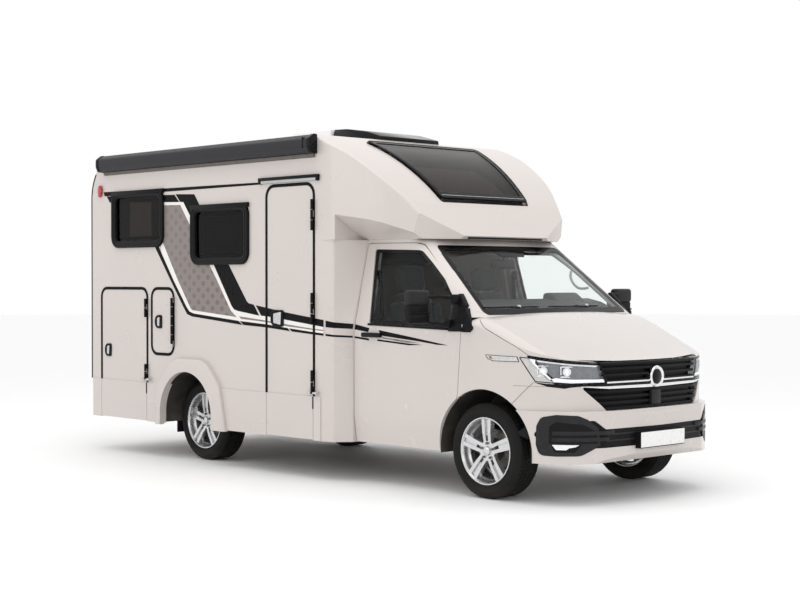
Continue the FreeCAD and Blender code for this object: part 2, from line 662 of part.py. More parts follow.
def mirror_unit():
    """Two-armed wide mirror on its triangular base, right side."""
    base = prism("xz", -975, -880, [(1702, 1190, 10), (1808, 1190), (1808, 1330, 10),
                                    (1722, 1470, 25)])
    base = cut(base, upper_form(0), box((1600, 1900), (-CAB_HALF, -800), (1100, BELT_Z)))
    head = prism("xy", 1262, 1512, [(1590, -1075), (1640, -1085, 22), (1640, -1290, 22),
                                    (1572, -1298, 22), (1560, -1085)])
    arms = [rod(14, (1745, -962, z), (1610, -1110, z)) for z in (1440, 1276)]
    return fuse(head, *arms, base)


def front_wings():
    """Front wings with their arches, inner covers and the slam panel behind the lamps."""
    wings = front_form(0).cut(front_form(14)).common(fuse(
        box((1660, 2600), (-1200, -800), (300, 1310)), box((1660, 2600), (800, 1200), (300, 1310)),
        box((1690, 1700), (-800, 800), (1160, 1170))))
    wings = Part.makeCompound([s for s in wings.Solids if abs(s.CenterOfMass.y) > 700])
    doorway = door_region(SHUT, -1200, -500)
    wings = cut(wings, doorway, mirrored(doorway), bonnet_region(SHUT), lamp_region(3, -1),
                mirrored(lamp_region(3, -1)), box((2316, 3000), (-1200, 1200), (200, 836)),
                front_arch(FRONT_ARCH_R, -1200, 1200), box((1600, 2010), (-860, 860), (1200, 1500)))
    liner = ring(FRONT_ARCH_R + 12, FRONT_ARCH_R, -CAB_HALF + 14, -490, FRONT_AXLE_X, TYRE_R)
    liner = liner.common(box((1500, 2600), (-1000, -400), (520, 1000)))
    liner = liner.cut(door_region(8, -1000, -880)).common(front_plan(36, 400, 1100))
    inner = ring(FRONT_ARCH_R + 12, 10, -502, -490, FRONT_AXLE_X, TYRE_R)
    inner = inner.common(box((1855, 2460), (-510, -480), (640, 1000)))
    liner = cut(fuse(liner, inner), box((1500, 1862), (-500, -400), (500, 1000)))
    slam = box((2384, 2414), (-846, 846), (760, 990))
    slam = cut(slam, front_arch(FRONT_ARCH_R + 12, -1200, 1200))
    return Part.makeCompound(fuse(wings, liner, mirrored(liner), slam).Solids)


def bonnet():
    shell = front_form(0).cut(front_form(16))
    lid = shell.common(bonnet_region()).common(box((1950, 3000), (-1200, 1200), (900, 1500)))
    return lid.cut(upper_form(-9))


def plate_holder():
    return box((2862, 2926), (-262, 262), (384, 502))


def bumper():
    """Body-coloured bumper with grille, fog-lamp and intake openings, and the plate seat."""
    upper = front_plan(0, 664, 834).cut(front_plan(20, 600, 900)).common(
        box((2316, 3000), (-1200, 1200), (600, 900)))
    lower = bumper_form(0).cut(bumper_form(22)).common(
        box((2316, 3000), (-1200, 1200), (200, 900)))
    ledge = bumper_plan(34, 644, 664).cut(front_plan(20, 600, 700)).common(
        box((2400, 3000), (-1200, 1200), (600, 700)))
    sill = bumper_plan(20, 644, 664).cut(bumper_plan(60, 600, 700)).common(
        box((2400, 2860), (-1200, 1200), (600, 700)))
    whole = fuse(lower, sill, ledge, upper)
    return cut(whole, front_arch(FRONT_ARCH_R, -1200, 1200), lower_grille_region(),
               lamp_region(3, -1), mirrored(lamp_region(3, -1)), intake_region(), plate_holder())


def slatted(opening, z0, z1, levels):
    """Backing and slats that fill a grille opening."""
    backing = front_plan(40, z0, z1).cut(front_plan(54, z0, z1)).common(opening)
    slats = [front_plan(8, z - 9, z + 9).cut(front_plan(44, z - 9, z + 9)).common(opening)
             for z in levels]
    return fuse(backing, *slats)


def grille():
    """Dark front plastics: grille slats with their backing, intake band and plate holder."""
    upper = slatted(upper_grille_region(), 838, 1002, (868, 912, 956, 990))
    lower = slatted(lower_grille_region(), 664, 829, (676, 716, 756, 796))
    band = bumper_form(6).cut(bumper_form(30)).common(intake_region())
    return Part.makeCompound([upper, lower] + fuse(band, plate_holder()).Solids)


def headlamps():
    lamp = front_form(2).cut(front_form(70)).common(lamp_region(0, -1))
    lamp = cut(lamp, bonnet_region(SHUT + 3), upper_grille_region(),
               box((2500, 3000), (-520, 520), (800, 860)))
    return Part.makeCompound([lamp, mirrored(lamp)])


def column():
    """Moulded post between the living box and the cab, right side; it leans in above the belt."""
    edge = CAB_REAR_X - SHUT - 1

    def section(z, lean):
        return outline("xy", z, [
            (420, -HALF_WIDTH), (552, -HALF_WIDTH + 12, 30), (edge, -962 + lean), (edge, -880 + lean),
            (600, -880 + lean), (560, -985 + lean * 0.6), (520, -HALF_WIDTH + WALL + 10, 20),
            (420, -HALF_WIDTH + WALL)])

    lower = Part.Face(section(SKIRT_BOTTOM, 0)).extrude(V(0, 0, BELT_Z - SKIRT_BOTTOM))
    upper = Part.makeLoft([section(BELT_Z, 0), section(CAB_ROOF_Z, 160)], True, True)
    return fuse(lower, upper)


def columns():
    return both(column())


# ---------------------------------------------------------------- cab interior
def dashboard():
    slab = prism("xz", -780, 780, [
        (1820, 1100), (1820, 1285, 40), (1530, 1265, 90), (1450, 1175, 50), (1460, 1060, 60),
        (1530, 960, 40), (1650, 900)])
    console = box((1450, 1700), (-150, 150), (FLOOR_TOP, 1080))
    toe = box((1500, 1560), (-200, 200), (FLOOR_TOP - 10, 700))
    axis = V(math.cos(math.radians(STEER_TILT)), 0, -math.sin(math.radians(STEER_TILT)))
    start, end = (V(*STEER_CENTRE) + axis * k for k in (32, 200))
    return cut(fuse(slab, console, rod(34, start, end)), toe)


SEAT_X, SEAT_Y = 1060.0, 430.0


def seat(y):
    base = prism("xy", FLOOR_TOP, 800, [(SEAT_X - 220, y - 200, 40), (SEAT_X + 220, y - 200, 40),
                                        (SEAT_X + 220, y + 200, 40), (SEAT_X - 220, y + 200, 40)])
    cushion = prism("xz", y - 250, y + 250, [
        (SEAT_X - 240, 800, 30), (SEAT_X + 270, 800, 40), (SEAT_X + 285, 940, 60),
        (SEAT_X - 240, 910, 20)])
    back = prism("xz", y - 240, y + 240, [
        (SEAT_X - 250, 880, 30), (SEAT_X - 110, 905, 30), (SEAT_X - 205, 1500, 60),
        (SEAT_X - 320, 1490, 50)])
    head = prism("xz", y - 130, y + 130, [
        (SEAT_X - 330, 1485, 20), (SEAT_X - 205, 1495, 20), (SEAT_X - 225, 1700, 50),
        (SEAT_X - 320, 1690, 40)])
    return fuse(base, cushion, back, head)


def seats():
    return Part.makeCompound([seat(-SEAT_Y), seat(SEAT_Y)])


STEER_CENTRE, STEER_TILT = (1370.0, 430.0, 1235.0), 32.0    # wheel middle and column rake


def steering_wheel():
    """Rim, spokes and hub on the raked column, modelled upright and then tilted."""
    rim = Part.makeTorus(188, 16)
    hub = Part.makeCylinder(62, 45, V(0, 0, -20))
    spokes = [box((0, 180), (-20, 20), (-10, 10)), box((-180, 0), (-20, 20), (-10, 10)),
              box((-18, 18), (-180, 0), (-10, 10))]
    wheel = fuse(rim, hub, *spokes)
    turn = FreeCAD.Rotation(V(0, 1, 0), -(90 - STEER_TILT)).multiply(FreeCAD.Rotation(V(0, 0, 1), 90))
    wheel.Placement = FreeCAD.Placement(V(*STEER_CENTRE), turn)
    return wheel


# ---------------------------------------------------------------- running gear
def chassis():
    """Frame rails, cross members, front beam, subframe and lower arms."""
    rail = box((-2700, 1520), (-475, -415), (470, FLOOR_BOTTOM))
    rise = box((1520, 2560), (-470, -410), (500, FLOOR_BOTTOM - 2))
    cross = [box((x, x + 60), (-415, 415), (490, 580)) for x in (-2650, -1960, -1000, -200, 700, 1450)]
    front_beam = box((2500, 2560), (-640, 640), (490, 600))
    subframe = box((1860, 2200), (-410, 410), (240, 300))
    legs = [box((x, x + 50), (s * 410 - 30, s * 410 + 30), (240, 510))
            for s in (-1, 1) for x in (1860, 2150)]
    arms = [rod(18, (FRONT_AXLE_X + dx, s * 400, 262), (FRONT_AXLE_X, s * (KINGPIN_Y - 45), 262))
            for s in (-1, 1) for dx in (-120, 120)]
    return fuse(rail, mirrored(rail), rise, mirrored(rise), *cross, front_beam, subframe, *legs,
                *arms)


def engine():
    """Plain block at the engine's size and place."""
    return box((1895, 2370), (-370, 330), (300, 1020))


def tanks():
    """Fuel tank and the two water tanks under the floor."""
    return Part.makeCompound([
        box((150, 1000), (490, 780), (300, FLOOR_BOTTOM)),
        box((-900, -250), (-860, -490), (330, FLOOR_BOTTOM)),
        box((-880, -200), (490, 860), (330, FLOOR_BOTTOM))])


HUB_END = WHEEL_Y + 43.0                 # axle stubs end just short of the wheel discs


def rear_axle():
    beam = rod(38, (REAR_AXLE_X, -(WHEEL_Y - 60), TYRE_R), (REAR_AXLE_X, WHEEL_Y - 60, TYRE_R))
    springs = [box((REAR_AXLE_X - 560, REAR_AXLE_X + 560), (s * 445 - 28, s * 445 + 28), (372, 402))
               for s in (-1, 1)]
    pads = [box((REAR_AXLE_X - 60, REAR_AXLE_X + 60), (s * 445 - 30, s * 445 + 30),
                (TYRE_R - 50, 402)) for s in (-1, 1)]
    shackles = [box((REAR_AXLE_X + dx - 20, REAR_AXLE_X + dx + 20), (s * 445 - 26, s * 445 + 26),
                    (380, 470)) for s in (-1, 1) for dx in (-540, 540)]
    brakes = [rod(150, (REAR_AXLE_X, s * (WHEEL_Y - 60), TYRE_R),
                  (REAR_AXLE_X, s * (WHEEL_Y - 20), TYRE_R)) for s in (-1, 1)]
    stubs = [rod(34, (REAR_AXLE_X, s * (WHEEL_Y - 60), TYRE_R), (REAR_AXLE_X, s * HUB_END, TYRE_R))
             for s in (-1, 1)]
    return fuse(beam, *springs, *pads, *shackles, *brakes, *stubs)


def knuckle():
    """Front upright with its brake disc and strut, right side."""
    x, y = FRONT_AXLE_X, -KINGPIN_Y
    post = box((x - 30, x + 30), (y - 25, y + 25), (290, 470))
    disc = rod(155, (x, -(WHEEL_Y - 22), TYRE_R), (x, -(WHEEL_Y - 48), TYRE_R))
    axle = rod(34, (x, y, TYRE_R), (x, -HUB_END, TYRE_R))
    bracket = box((x - 26, x + 26), (y, y + 82), (425, 470))
    strut = rod(24, (x, y + 58, 425), (x, y + 58, 710))
    spring = rod(56, (x, y + 58, 702), (x, y + 58, 778))
    return fuse(post, disc, axle, bracket, strut, spring)


def tyre(x, y, outer_side):
    """Tyre turned from a straight-sided section with two tread grooves."""
    h = TYRE_W / 2
    side = [(-h + 20, LIP_R + 0.5), (-h + 5, LIP_R + 14), (-h, LIP_R + 46), (-h + 8, TYRE_R - 24),
            (-h + 32, TYRE_R - 1)]
    grooves = []
    for c in (-34, 34):
        grooves += [(c - 6, TYRE_R), (c - 4, TYRE_R - 8), (c + 4, TYRE_R - 8), (c + 6, TYRE_R)]
    corners = side + grooves + [(-a, b) for a, b in side[::-1]]
    face = Part.Face(outline("xz", 0, [(b, a) for a, b in corners]))
    solid = face.revolve(V(0, 0, 0), V(0, 0, 1), 360)
    solid.Placement = FreeCAD.Placement(V(x, y, TYRE_R), FreeCAD.Rotation(V(1, 0, 0), 90))
    return solid


def rim(x, y, outer_side):
    """Alloy wheel: barrel, hub, and five spokes of two ribs each with a sunk web between them."""
    h = TYRE_W / 2 - 12
    barrel = [(LIP_R - 8, -h), (LIP_R, -h), (LIP_R, -h + 10), (LIP_R - 14, -h + 40),
              (LIP_R - 30, -h + 60), (LIP_R - 30, h - 60), (LIP_R - 14, h - 40), (LIP_R, h - 10),
              (LIP_R, h), (LIP_R - 8, h), (LIP_R - 18, h - 16), (LIP_R - 24, h - 44),
              (LIP_R - 38, h - 64), (LIP_R - 38, -h + 64), (LIP_R - 24, -h + 44),
              (LIP_R - 18, -h + 16)]
    solid = Part.Face(outline("xz", 0, barrel)).revolve(V(0, 0, 0), V(0, 0, 1), 360)
    hub = Part.makeCylinder(72, 38, V(0, 0, h - 62)).fuse(Part.makeCylinder(34, 8, V(0, 0, h - 26)))
    parts = [solid, hub]
    side = [(40, h - 54), (LIP_R - 31, h - 54), (LIP_R - 7, h - 9), (130, h - 12, 60),
            (40, h - 27)]
    sunk = [(112, h - 49), (LIP_R - 28, h - 47), (LIP_R - 18, h - 24), (112, h - 28)]
    for k in range(5):
        ribs = [prism("xz", -60, 60, side).common(prism("xy", 0, 200, [
            (20, s * 9), (LIP_R, s * 17), (LIP_R, s * 46), (20, s * 33)])) for s in (-1, 1)]
        web = prism("xz", -60, 60, sunk).common(prism("xy", 0, 200, [
            (100, -24), (LIP_R, -31), (LIP_R, 31), (100, 24)]))
        for shape in (*ribs, web):
            shape.rotate(V(0, 0, 0), V(0, 0, 1), 90 + 72 * k)
            parts.append(shape)
    wheel = fuse(*parts)
    turn = 90 if outer_side < 0 else -90
    wheel.Placement = FreeCAD.Placement(V(x, y, TYRE_R), FreeCAD.Rotation(V(1, 0, 0), turn))
    return wheel


WHEELS = {"fr": (FRONT_AXLE_X, -WHEEL_Y, -1), "fl": (FRONT_AXLE_X, WHEEL_Y, 1),
          "rr": (REAR_AXLE_X, -WHEEL_Y, -1), "rl": (REAR_AXLE_X, WHEEL_Y, 1)}

NODES = {
    "living_floor": living_floor,
    "side_wall_right": lambda: side_wall(False),
    "side_wall_left": lambda: side_wall(True),
    "rear_wall": rear_wall,
    "roof": roof,
    "rooflights": rooflights,
    "nose_cap": nose_cap,
    "box_windows": box_windows,
    "skirts": skirts,
    "columns": columns,
    "entry_door": entry_door,
    "garage_door": garage_door,
    "locker_door": locker_door,
    "cassette_flap": cassette_flap,
    "awning": awning,
    "rear_bumper": rear_bumper,
    "rear_lamps": rear_lamps,
    "cab_shell": cab_shell,
    "windscreen": windscreen,
    "cab_door_right": cab_door,
    "cab_door_left": lambda: mirrored(cab_door()),
    "cab_glass_right": cab_glass,
    "cab_glass_left": lambda: mirrored(cab_glass()),
    "mirror_right": mirror_unit,
    "mirror_left": lambda: mirrored(mirror_unit()),
    "front_wings": front_wings,
    "bonnet": bonnet,
    "front_bumper": bumper,
    "grille": grille,
    "headlamps": headlamps,
    "dashboard": dashboard,
    "seats": seats,
    "steering_wheel": steering_wheel,
    "chassis": chassis,
    "engine": engine,
    "tanks": tanks,
    "rear_axle": rear_axle,
    "knuckle_right": knuckle,
    "knuckle_left": lambda: mirrored(knuckle()),
}
for place, where in WHEELS.items():
    NODES["tyre_" + place] = lambda where=where: tyre(*where)
    NODES["rim_" + place] = lambda where=where: rim(*where)

if __name__ == "__main__":
    os.makedirs("parts", exist_ok=True)
    for name, make in NODES.items():
        make().exportStep("parts/" + name + ".step")
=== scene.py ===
"""Camper van dressing: paint, stripes, seals, glazing, lamps, wheels, cab trim and a plain studio.

All values are metres in the solid model's frame: +X to the front, +Y to the left, +Z up, with the
ground at Z 0. Shapes are given for the right-hand side, where Y is negative, and mirrored.
"""

import math

import bpy
from mathutils import Matrix, Vector


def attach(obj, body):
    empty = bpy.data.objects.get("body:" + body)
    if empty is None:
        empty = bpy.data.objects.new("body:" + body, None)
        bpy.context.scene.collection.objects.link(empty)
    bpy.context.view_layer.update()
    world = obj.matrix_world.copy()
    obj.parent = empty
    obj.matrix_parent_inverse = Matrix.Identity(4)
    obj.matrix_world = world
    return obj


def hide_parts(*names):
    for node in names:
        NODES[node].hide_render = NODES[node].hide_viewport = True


bl_info = {
    "name": "Camper van dressing",
    "version": (1, 0, 0),
    "blender": (4, 5, 0),
    "location": "View3D > Sidebar > Camper",
    "description": "Builds the finishes and fine pieces of a camper van round its solid model",
    "category": "Object",
}

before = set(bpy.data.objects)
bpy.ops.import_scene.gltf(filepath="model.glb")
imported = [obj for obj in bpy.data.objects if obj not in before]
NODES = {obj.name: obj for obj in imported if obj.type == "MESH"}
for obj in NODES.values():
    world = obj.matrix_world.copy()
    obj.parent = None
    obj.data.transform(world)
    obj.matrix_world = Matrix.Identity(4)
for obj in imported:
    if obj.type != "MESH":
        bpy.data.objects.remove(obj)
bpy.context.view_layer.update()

WALL_Y = -1.1                 # outer face of the right-hand wall
ON_WALL = WALL_Y - 0.0002     # where trim on that wall starts, a hair outside it
WHEEL_Z = 0.345
WHEELS = (                    # tag, X, Y of the tyre's middle
    ("fr", 2.032, -0.812), ("fl", 2.032, 0.812), ("rr", -1.368, -0.812), ("rl", -1.368, 0.812))
# Openings of the side windows: X from, X to, Z from, Z to, corner radius
WINDOWS = ((-2.520, -1.727, 1.893, 2.385, 0.09), (-1.286, -0.505, 1.728, 2.218, 0.09))
SIDES = (("right", -1), ("left", 1))
MIRROR = Matrix.Scale(-1, 4, Vector((0, 1, 0)))
PLANES = {"x": (1, 2), "y": (0, 2), "z": (0, 1)}        # the two other axes
FAR = 4.0                     # a level outside the vehicle, from which thin layers start
REACH = 1.5                   # how far such a layer may travel to the solid that carries it


# ---------------------------------------------------------------- modelling helpers
def deselect():
    """Leaves nothing selected and no mesh in edit mode."""
    if bpy.context.object and bpy.context.object.mode != "OBJECT":
        bpy.ops.object.mode_set(mode="OBJECT")
    for obj in list(bpy.context.selected_objects):
        obj.select_set(False)


def activate(obj):
    deselect()
    obj.select_set(True)
    bpy.context.view_layer.objects.active = obj


class Editing:
    """Edit mode on one object, with all or none of it selected."""

    def __init__(self, obj, action="SELECT"):
        self.obj, self.action = obj, action

    def __enter__(self):
        activate(self.obj)
        bpy.ops.object.mode_set(mode="EDIT")
        bpy.ops.mesh.select_mode(type="FACE")
        bpy.ops.mesh.select_all(action=self.action)
        return self.obj.data

    def __exit__(self, *_):
        bpy.ops.object.mode_set(mode="OBJECT")


def modify(obj, kind, **values):
    """Adds a modifier with its values and applies it."""
    activate(obj)
    modifier = obj.modifiers.new(kind.title(), kind)
    for key, value in values.items():
        setattr(modifier, key, value)
    bpy.ops.object.modifier_apply(modifier=modifier.name)
    return obj


def bevel(obj, width, segments=2, angle=35):
    return modify(obj, "BEVEL", width=width, segments=segments, limit_method="ANGLE",
                  angle_limit=math.radians(angle), harden_normals=False)


def piece(obj, name, body, material, smooth=32):
    """Names a finished shape, gives it its finish and puts it on its body."""
    obj.name = obj.data.name = name
    activate(obj)
    bpy.ops.object.shade_smooth_by_angle(angle=math.radians(smooth))
    if material:
        obj.data.materials.clear()
        obj.data.materials.append(bpy.data.materials[material])
    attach(obj, body)
    deselect()
    return obj


def merged(objs):
    """One object from several."""
    activate(objs[0])
    for obj in objs:
        obj.select_set(True)
    bpy.ops.object.join()
    return bpy.context.object


def twin(obj, matrix=MIRROR):
    """A copy with its own mesh, moved by a matrix; a mirrored copy keeps its faces outwards."""
    other = obj.copy()
    other.data = obj.data.copy()
    other.parent = None
    bpy.context.scene.collection.objects.link(other)
    other.data.transform(matrix)
    if matrix.determinant() < 0:
        other.data.flip_normals()
    return other


def sided(obj, side):
    """The piece as it is for the right-hand side (-1), or moved to the left (1)."""
    if side > 0:
        obj.data.transform(MIRROR)
        obj.data.flip_normals()
    return obj


def pair(obj, name, body, finish, smooth=32):
    """The right-hand piece and its mirror image; {} in the body's name stands for the side."""
    other = twin(obj)
    for shape, tag in ((obj, "right"), (other, "left")):
        piece(shape, f"{name}_{tag}", body.format(tag), finish, smooth)


def rounded(corners, steps=5, closed=True):
    """Outline points from corners (a, b) or (a, b, radius)."""
    points, count = [], len(corners)
    for i, corner in enumerate(corners):
        here = Vector(corner[:2])
        radius = corner[2] if len(corner) > 2 else 0
        if not radius or (not closed and i in (0, count - 1)):
            points.append(here)
            continue
        u = (Vector(corners[i - 1][:2]) - here).normalized()
        w = (Vector(corners[(i + 1) % count][:2]) - here).normalized()
        half = u.angle(w) / 2
        centre = here + (u + w).normalized() * (radius / math.sin(half))
        start = here + u * (radius / math.tan(half)) - centre
        end = here + w * (radius / math.tan(half)) - centre
        sweep = start.angle_signed(end)
        for k in range(steps + 1):
            angle = -sweep * k / steps
            points.append(centre + Vector((
                start.x * math.cos(angle) - start.y * math.sin(angle),
                start.x * math.sin(angle) + start.y * math.cos(angle))))
    return points


def oval(x, z, wide, high, degrees):
    """Outline points of an oval, or of a part of it, at the given degrees."""
    return [(x + wide * math.cos(a), z + high * math.sin(a)) for a in map(math.radians, degrees)]


def lay(points, axis, at):
    """Outline points on the plane at a level of an axis."""
    i, j = PLANES[axis]
    placed = []
    for a, b in (p[:2] for p in points):
        spot = [at, at, at]
        spot[i], spot[j] = a, b
        placed.append(Vector(spot))
    return placed


def leaf(points, outward=None):
    """Flat face through points, from a disc with as many corners."""
    deselect()
    bpy.ops.mesh.primitive_circle_add(vertices=len(points), fill_type="NGON")
    obj = bpy.context.object
    for vertex, point in zip(obj.data.vertices, points):
        vertex.co = point
    obj.data.update()
    if outward is not None and obj.data.polygons[0].normal.dot(Vector(outward)) < 0:
        obj.data.flip_normals()
    return obj


def along(axis, value):
    """Vector of a length along an axis."""
    return Vector([value if axis == key else 0 for key in "xyz"])


def prism(corners, axis, start, end, edge=0.0, segments=2):
    """Block between two levels of an axis, with softened edges."""
    obj = leaf(lay(rounded(corners), axis, start), along(axis, start - end))
    with Editing(obj):
        bpy.ops.mesh.extrude_region_move(
            TRANSFORM_OT_translate={"value": along(axis, end - start)})
        bpy.ops.mesh.select_all(action="SELECT")
        bpy.ops.mesh.normals_make_consistent(inside=False)
    return bevel(obj, edge, segments) if edge else obj


def block(x, y, z, edge=0.003, segments=2):
    """Box between pairs of limits."""
    return prism([(x[0], z[0]), (x[1], z[0]), (x[1], z[1]), (x[0], z[1])], "y", y[0], y[1],
                 edge, segments)


def box_outline(x0, x1, z0, z1, radius, grow=0.0):
    """Corners of a rounded box, grown on all sides."""
    return [(x0 - grow, z0 - grow, radius + grow), (x1 + grow, z0 - grow, radius + grow),
            (x1 + grow, z1 + grow, radius + grow), (x0 - grow, z1 + grow, radius + grow)]


def moulding(corners, axis, at, rise, steps, keep_middle=False):
    """Frame with a stepped section: the outline rises, then each step insets it and moves it."""
    obj = leaf(lay(rounded(corners), axis, at), along(axis, rise))
    with Editing(obj):
        for width, height in ((0.0006, abs(rise)), *steps):
            bpy.ops.mesh.inset(thickness=width, depth=height, use_even_offset=True)
        if not keep_middle:
            bpy.ops.mesh.delete(type="FACE")
    return obj


def ribbon(path, width, closed=False):
    """Outline of a band of even width round an open path."""
    points = rounded(path, closed=closed)
    left, right = [], []
    for i, here in enumerate(points):
        before = points[max(i - 1, 0)]
        after = points[min(i + 1, len(points) - 1)]
        run = (after - before).normalized()
        side = Vector((-run.y, run.x))
        spread = 1.0
        if 0 < i < len(points) - 1:
            spread = 1 / max(0.3, (here - before).normalized().dot(run))
        left.append(here + side * (width / 2 * spread))
        right.append(here - side * (width / 2 * spread))
    return left + right[::-1]


def band(path, width, axis, start, end, edge=0.0):
    """Raised band along an open path."""
    return prism([tuple(p) for p in ribbon(path, width)], axis, start, end, edge)


def clipped(points, low, high):
    """The part of an outline between two values of its first coordinate."""
    for limit, sign in ((low, 1), (high, -1)):
        kept, count = [], len(points)
        for i in range(count):
            a, b = points[i], points[(i + 1) % count]
            inside_a, inside_b = (a[0] - limit) * sign >= 0, (b[0] - limit) * sign >= 0
            if inside_a:
                kept.append(a)
            if inside_a != inside_b:
                t = (limit - a[0]) / (b[0] - a[0])
                kept.append((limit, a[1] + (b[1] - a[1]) * t))
        points = kept
    return points


def gridded(obj, axis, pitch):
    """Cuts a flat face into a grid, so that it can follow a curved panel."""
    corner = [min(v.co[i] for v in obj.data.vertices) for i in range(3)]
    far = [max(v.co[i] for v in obj.data.vertices) for i in range(3)]
    with Editing(obj):
        for i in PLANES[axis]:
            normal = [0, 0, 0]
            normal[i] = 1
            for k in range(1, max(1, math.ceil((far[i] - corner[i]) / pitch))):
                spot = list(corner)
                spot[i] += k * pitch
                bpy.ops.mesh.select_all(action="SELECT")
                bpy.ops.mesh.bisect(plane_co=spot, plane_no=normal)
    return obj


def wrapped(corners, axis, start, node, thick, lift, pitch=0.04):
    """Thin layer of an outline that lies on a solid, seen along an axis from a level outside it."""
    obj = leaf(lay(rounded(corners), axis, start), along(axis, start))
    gridded(obj, axis, pitch)
    return onto(obj, axis, start, node, thick, lift)


def onto(obj, axis, start, node, thick, lift=0.0):
    """Projects a thin layer onto a solid and gives it its thickness."""
    values = {f"use_project_{key}": key == axis for key in "xyz"}
    modify(obj, "SHRINKWRAP", target=NODES[node], wrap_method="PROJECT",
           wrap_mode="ABOVE_SURFACE", offset=lift, use_negative_direction=start > 0,
           use_positive_direction=start < 0, project_limit=REACH, **values)
    level = "xyz".index(axis)
    if any(abs(vertex.co[level] - start) < 1e-4 for vertex in obj.data.vertices):
        raise RuntimeError(f"a layer misses {node}")
    return modify(obj, "SOLIDIFY", thickness=thick, offset=1.0)


def ring_leaf(corners, skip, width, axis, start):
    """Flat band of even width, a little inside an outline."""
    obj = leaf(lay(rounded(corners), axis, start), along(axis, start))
    with Editing(obj):
        if skip:
            bpy.ops.mesh.inset(thickness=skip, depth=0, use_even_offset=True)
            bpy.ops.mesh.select_all(action="INVERT")
            bpy.ops.mesh.delete(type="FACE")
            bpy.ops.mesh.select_all(action="SELECT")
        bpy.ops.mesh.inset(thickness=width, depth=0, use_even_offset=True)
        bpy.ops.mesh.delete(type="FACE")
    return obj


def shaped(corners, axis, side, rule, thick, pitch=0.02, ring=None):
    """Thin layer that lies on a curved form: the rule gives the form's level at each point."""
    obj = (ring_leaf(corners, *ring, axis, side * FAR) if ring
           else leaf(lay(rounded(corners), axis, side * FAR), along(axis, side)))
    gridded(obj, axis, pitch)
    (i, j), k = PLANES[axis], "xyz".index(axis)
    for vertex in obj.data.vertices:
        vertex.co[k] = rule(vertex.co[i], vertex.co[j])
    return modify(obj, "SOLIDIFY", thickness=thick, offset=1.0)


# Plan (X, Y, radius) of the lamps and grille, and of the bumper below them
GRILLE_PLAN = [(1.610, -0.952), (2.210, -0.952, 1.5), (2.500, -0.905, 0.5), (2.700, -0.770, 0.26),
               (2.818, -0.545, 0.26), (2.862, 0.0, 1.5), (2.818, 0.545, 0.26), (2.700, 0.770, 0.26),
               (2.500, 0.905, 0.5), (2.210, 0.952, 1.5), (1.610, 0.952)]
BUMPER_PLAN = [(2.200, -0.950), (2.330, -0.950, 0.3), (2.560, -0.905, 0.4), (2.755, -0.765, 0.2),
               (2.850, -0.580, 0.16), (2.904, 0.0, 1.5), (2.850, 0.580, 0.16), (2.755, 0.765, 0.2),
               (2.560, 0.905, 0.4), (2.330, 0.950, 0.3), (2.200, 0.950)]
BELT_Z, CAB_Y = 1.2, -0.952   # the cab's side is upright up to the belt, at this Y
LEAN = 0.22857                # how far the side leans in for each metre above the belt
FRONT_X, FRONT_LEAN = 2.100, 1.2343       # front skin beside the corner: X at the belt, slope
MIDDLE_X, MIDDLE_LEAN = 2.190, 1.2286     # and the same on the vehicle's middle
CORNER, BROW = 0.150, 3.0     # radius between side and front, and across the middle of the front


def cab_corner(z, out):
    """Half width, slope of the front and X of the corner's middle, at a height of the cab."""
    rise = max(0.0, z - BELT_Z)
    half = -CAB_Y - LEAN * rise + out
    front, middle = FRONT_X - FRONT_LEAN * rise + out, MIDDLE_X - MIDDLE_LEAN * rise + out
    turn = math.atan((middle - front) / half)
    centre = front + (math.sin(turn) * CORNER - CORNER) / math.cos(turn)
    return half, middle, turn, centre


def cab_front(y, z, out=0.0):
    """X of the cab's front skin above the belt."""
    half, middle, turn, centre = cab_corner(z, out)
    y = abs(y)
    if y > half - CORNER + CORNER * math.sin(turn):
        return centre + math.sqrt(max(0.0, CORNER ** 2 - (y - half + CORNER) ** 2))
    if y < BROW * math.sin(turn):
        return middle - BROW / math.cos(turn) + math.sqrt(BROW ** 2 - y ** 2)
    return middle - y * math.tan(turn)


def cab_side(x, z, out=0.0):
    """Y of the cab's right-hand skin."""
    half, _, _, centre = cab_corner(z, out)
    if z < BELT_Z or x < centre:
        return -half
    return -half + CORNER - math.sqrt(max(0.0, CORNER ** 2 - (x - centre) ** 2))


def offset_line(points, out):
    """An open line of points moved sideways, away from the vehicle."""
    moved = []
    for i, (x, y) in enumerate(points):
        a, b = Vector(points[max(i - 1, 0)]), Vector(points[min(i + 1, len(points) - 1)])
        run = (b - a).normalized()
        moved.append((x + run.y * out, y - run.x * out))
    return moved


def plan_rule(plan, out=0.0):
    """Y of the right-hand half of a plan, moved outwards, at each X."""
    line = offset_line([tuple(p) for p in rounded(plan, 8, closed=False)], out)
    line = [p for p in line if p[1] <= 0.001]

    def level(x, _):
        for (x0, y0), (x1, y1) in zip(line, line[1:]):
            if x0 <= x <= x1:
                return y0 + (y1 - y0) * (x - x0) / (x1 - x0)
        raise RuntimeError("a layer leaves the front's plan")

    return level


def strip(plan, y0, y1, z0, z1, out, depth, edge=0.002):
    """Bar that follows the front's plan between two Y values."""
    points = [tuple(p) for p in rounded(plan, 8, closed=False)]
    turned = clipped([(y, x) for x, y in points] + [(0.95, 1.0), (-0.95, 1.0)], y0, y1)
    line = sorted(((x, y) for y, x in turned if x > 1.9), key=lambda p: p[1])
    shape = offset_line(line, out) + offset_line(line, out - depth)[::-1]
    return prism(shape, "z", z0, z1, edge)


